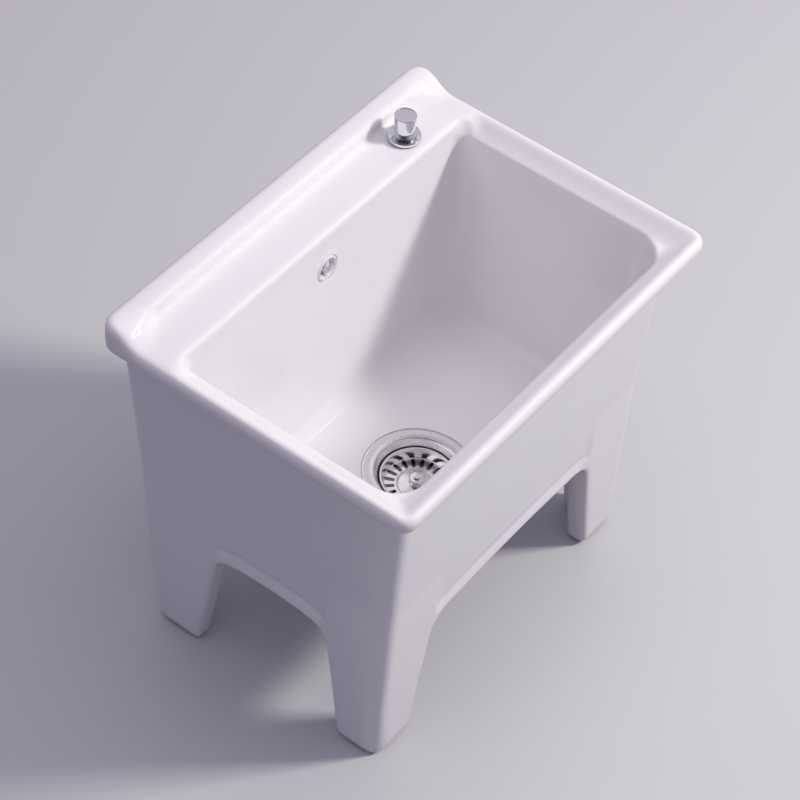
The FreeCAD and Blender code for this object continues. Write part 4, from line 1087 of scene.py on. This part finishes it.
def makeFloor():
    mesh = bpy.data.meshes.new("floor")
    reach = studio["floorReach"]
    mesh.from_pydata([(-reach, -reach, 0), (reach, -reach, 0), (reach, reach, 0), (-reach, reach, 0)], [],
                     [(0, 1, 2, 3)])
    floor = bpy.data.objects.new("floor", mesh)
    bpy.context.scene.collection.objects.link(floor)
    material, tree, shader = freshMaterial("pale_floor")
    colour = addNode(tree, "ShaderNodeMix", data_type="RGBA")
    colour.inputs[6].default_value = studio["floorBounce"]
    colour.inputs[7].default_value = studio["floorSeen"]
    tree.links.new(seenRay(tree), colour.inputs[0])
    tree.links.new(colour.outputs[2], shader.inputs["Base Color"])
    shader.inputs["Roughness"].default_value = studio["floorRoughness"]
    mesh.materials.append(material)


def makeSurround():
    world = bpy.data.worlds.new("studio")
    world.use_nodes = True
    tree = world.node_tree
    tree.nodes.clear()
    output = addNode(tree, "ShaderNodeOutputWorld")
    place = addNode(tree, "ShaderNodeTexCoord")
    apart = addNode(tree, "ShaderNodeSeparateXYZ")
    side = addNode(tree, "ShaderNodeVectorMath", operation="DOT_PRODUCT")
    side.inputs[1].default_value = studio["brightSide"]
    overhead = addNode(tree, "ShaderNodeMapRange", interpolation_type="SMOOTHSTEP")
    above = addNode(tree, "ShaderNodeMix", data_type="RGBA")
    above.inputs[6].default_value = studio["overDim"]
    above.inputs[7].default_value = studio["overBright"]
    rise = addNode(tree, "ShaderNodeMapRange", interpolation_type="SMOOTHSTEP")
    for node, limits in ((overhead, studio["brightRange"]), (rise, studio["horizonRange"])):
        node.inputs["From Min"].default_value = limits[0]
        node.inputs["From Max"].default_value = limits[1]
    seen = addNode(tree, "ShaderNodeMix", data_type="RGBA")
    seen.inputs[6].default_value = studio["horizon"]
    shown = addNode(tree, "ShaderNodeBackground")
    ambient = addNode(tree, "ShaderNodeBackground")
    ambient.inputs["Color"].default_value = studio["ambientColour"]
    ambient.inputs["Strength"].default_value = studio["ambient"]
    choose = addNode(tree, "ShaderNodeMixShader")
    link = tree.links.new
    link(place.outputs["Generated"], apart.inputs[0])
    link(place.outputs["Generated"], side.inputs[0])
    link(side.outputs["Value"], overhead.inputs["Value"])
    link(apart.outputs["Z"], rise.inputs["Value"])
    link(rise.outputs["Result"], seen.inputs[0])
    link(overhead.outputs["Result"], above.inputs[0])
    link(above.outputs[2], seen.inputs[7])
    link(seen.outputs[2], shown.inputs["Color"])
    link(seenRay(tree), choose.inputs[0])
    link(ambient.outputs[0], choose.inputs[1])
    link(shown.outputs[0], choose.inputs[2])
    link(choose.outputs[0], output.inputs["Surface"])
    bpy.context.scene.world = world


def makeLamps():
    for lamp in lamps:
        data = bpy.data.lights.new(lamp["name"], "AREA")
        data.shape = "SQUARE"
        data.size = lamp["size"]
        data.energy = lamp["power"]
        data.color = lampColour
        light = bpy.data.objects.new(lamp["name"], data)
        bpy.context.scene.collection.objects.link(light)
        light.visible_glossy = lamp["glossy"]
        light.location = lamp["place"]
        aim = Vector(studio["lampAim"]) - Vector(lamp["place"])
        light.rotation_mode = "QUATERNION"
        light.rotation_quaternion = aim.to_track_quat("-Z", "Y")


makeFloor()
makeSurround()
makeLamps()
bpy.context.scene.view_settings.view_transform = "Standard"
print("studio lit")
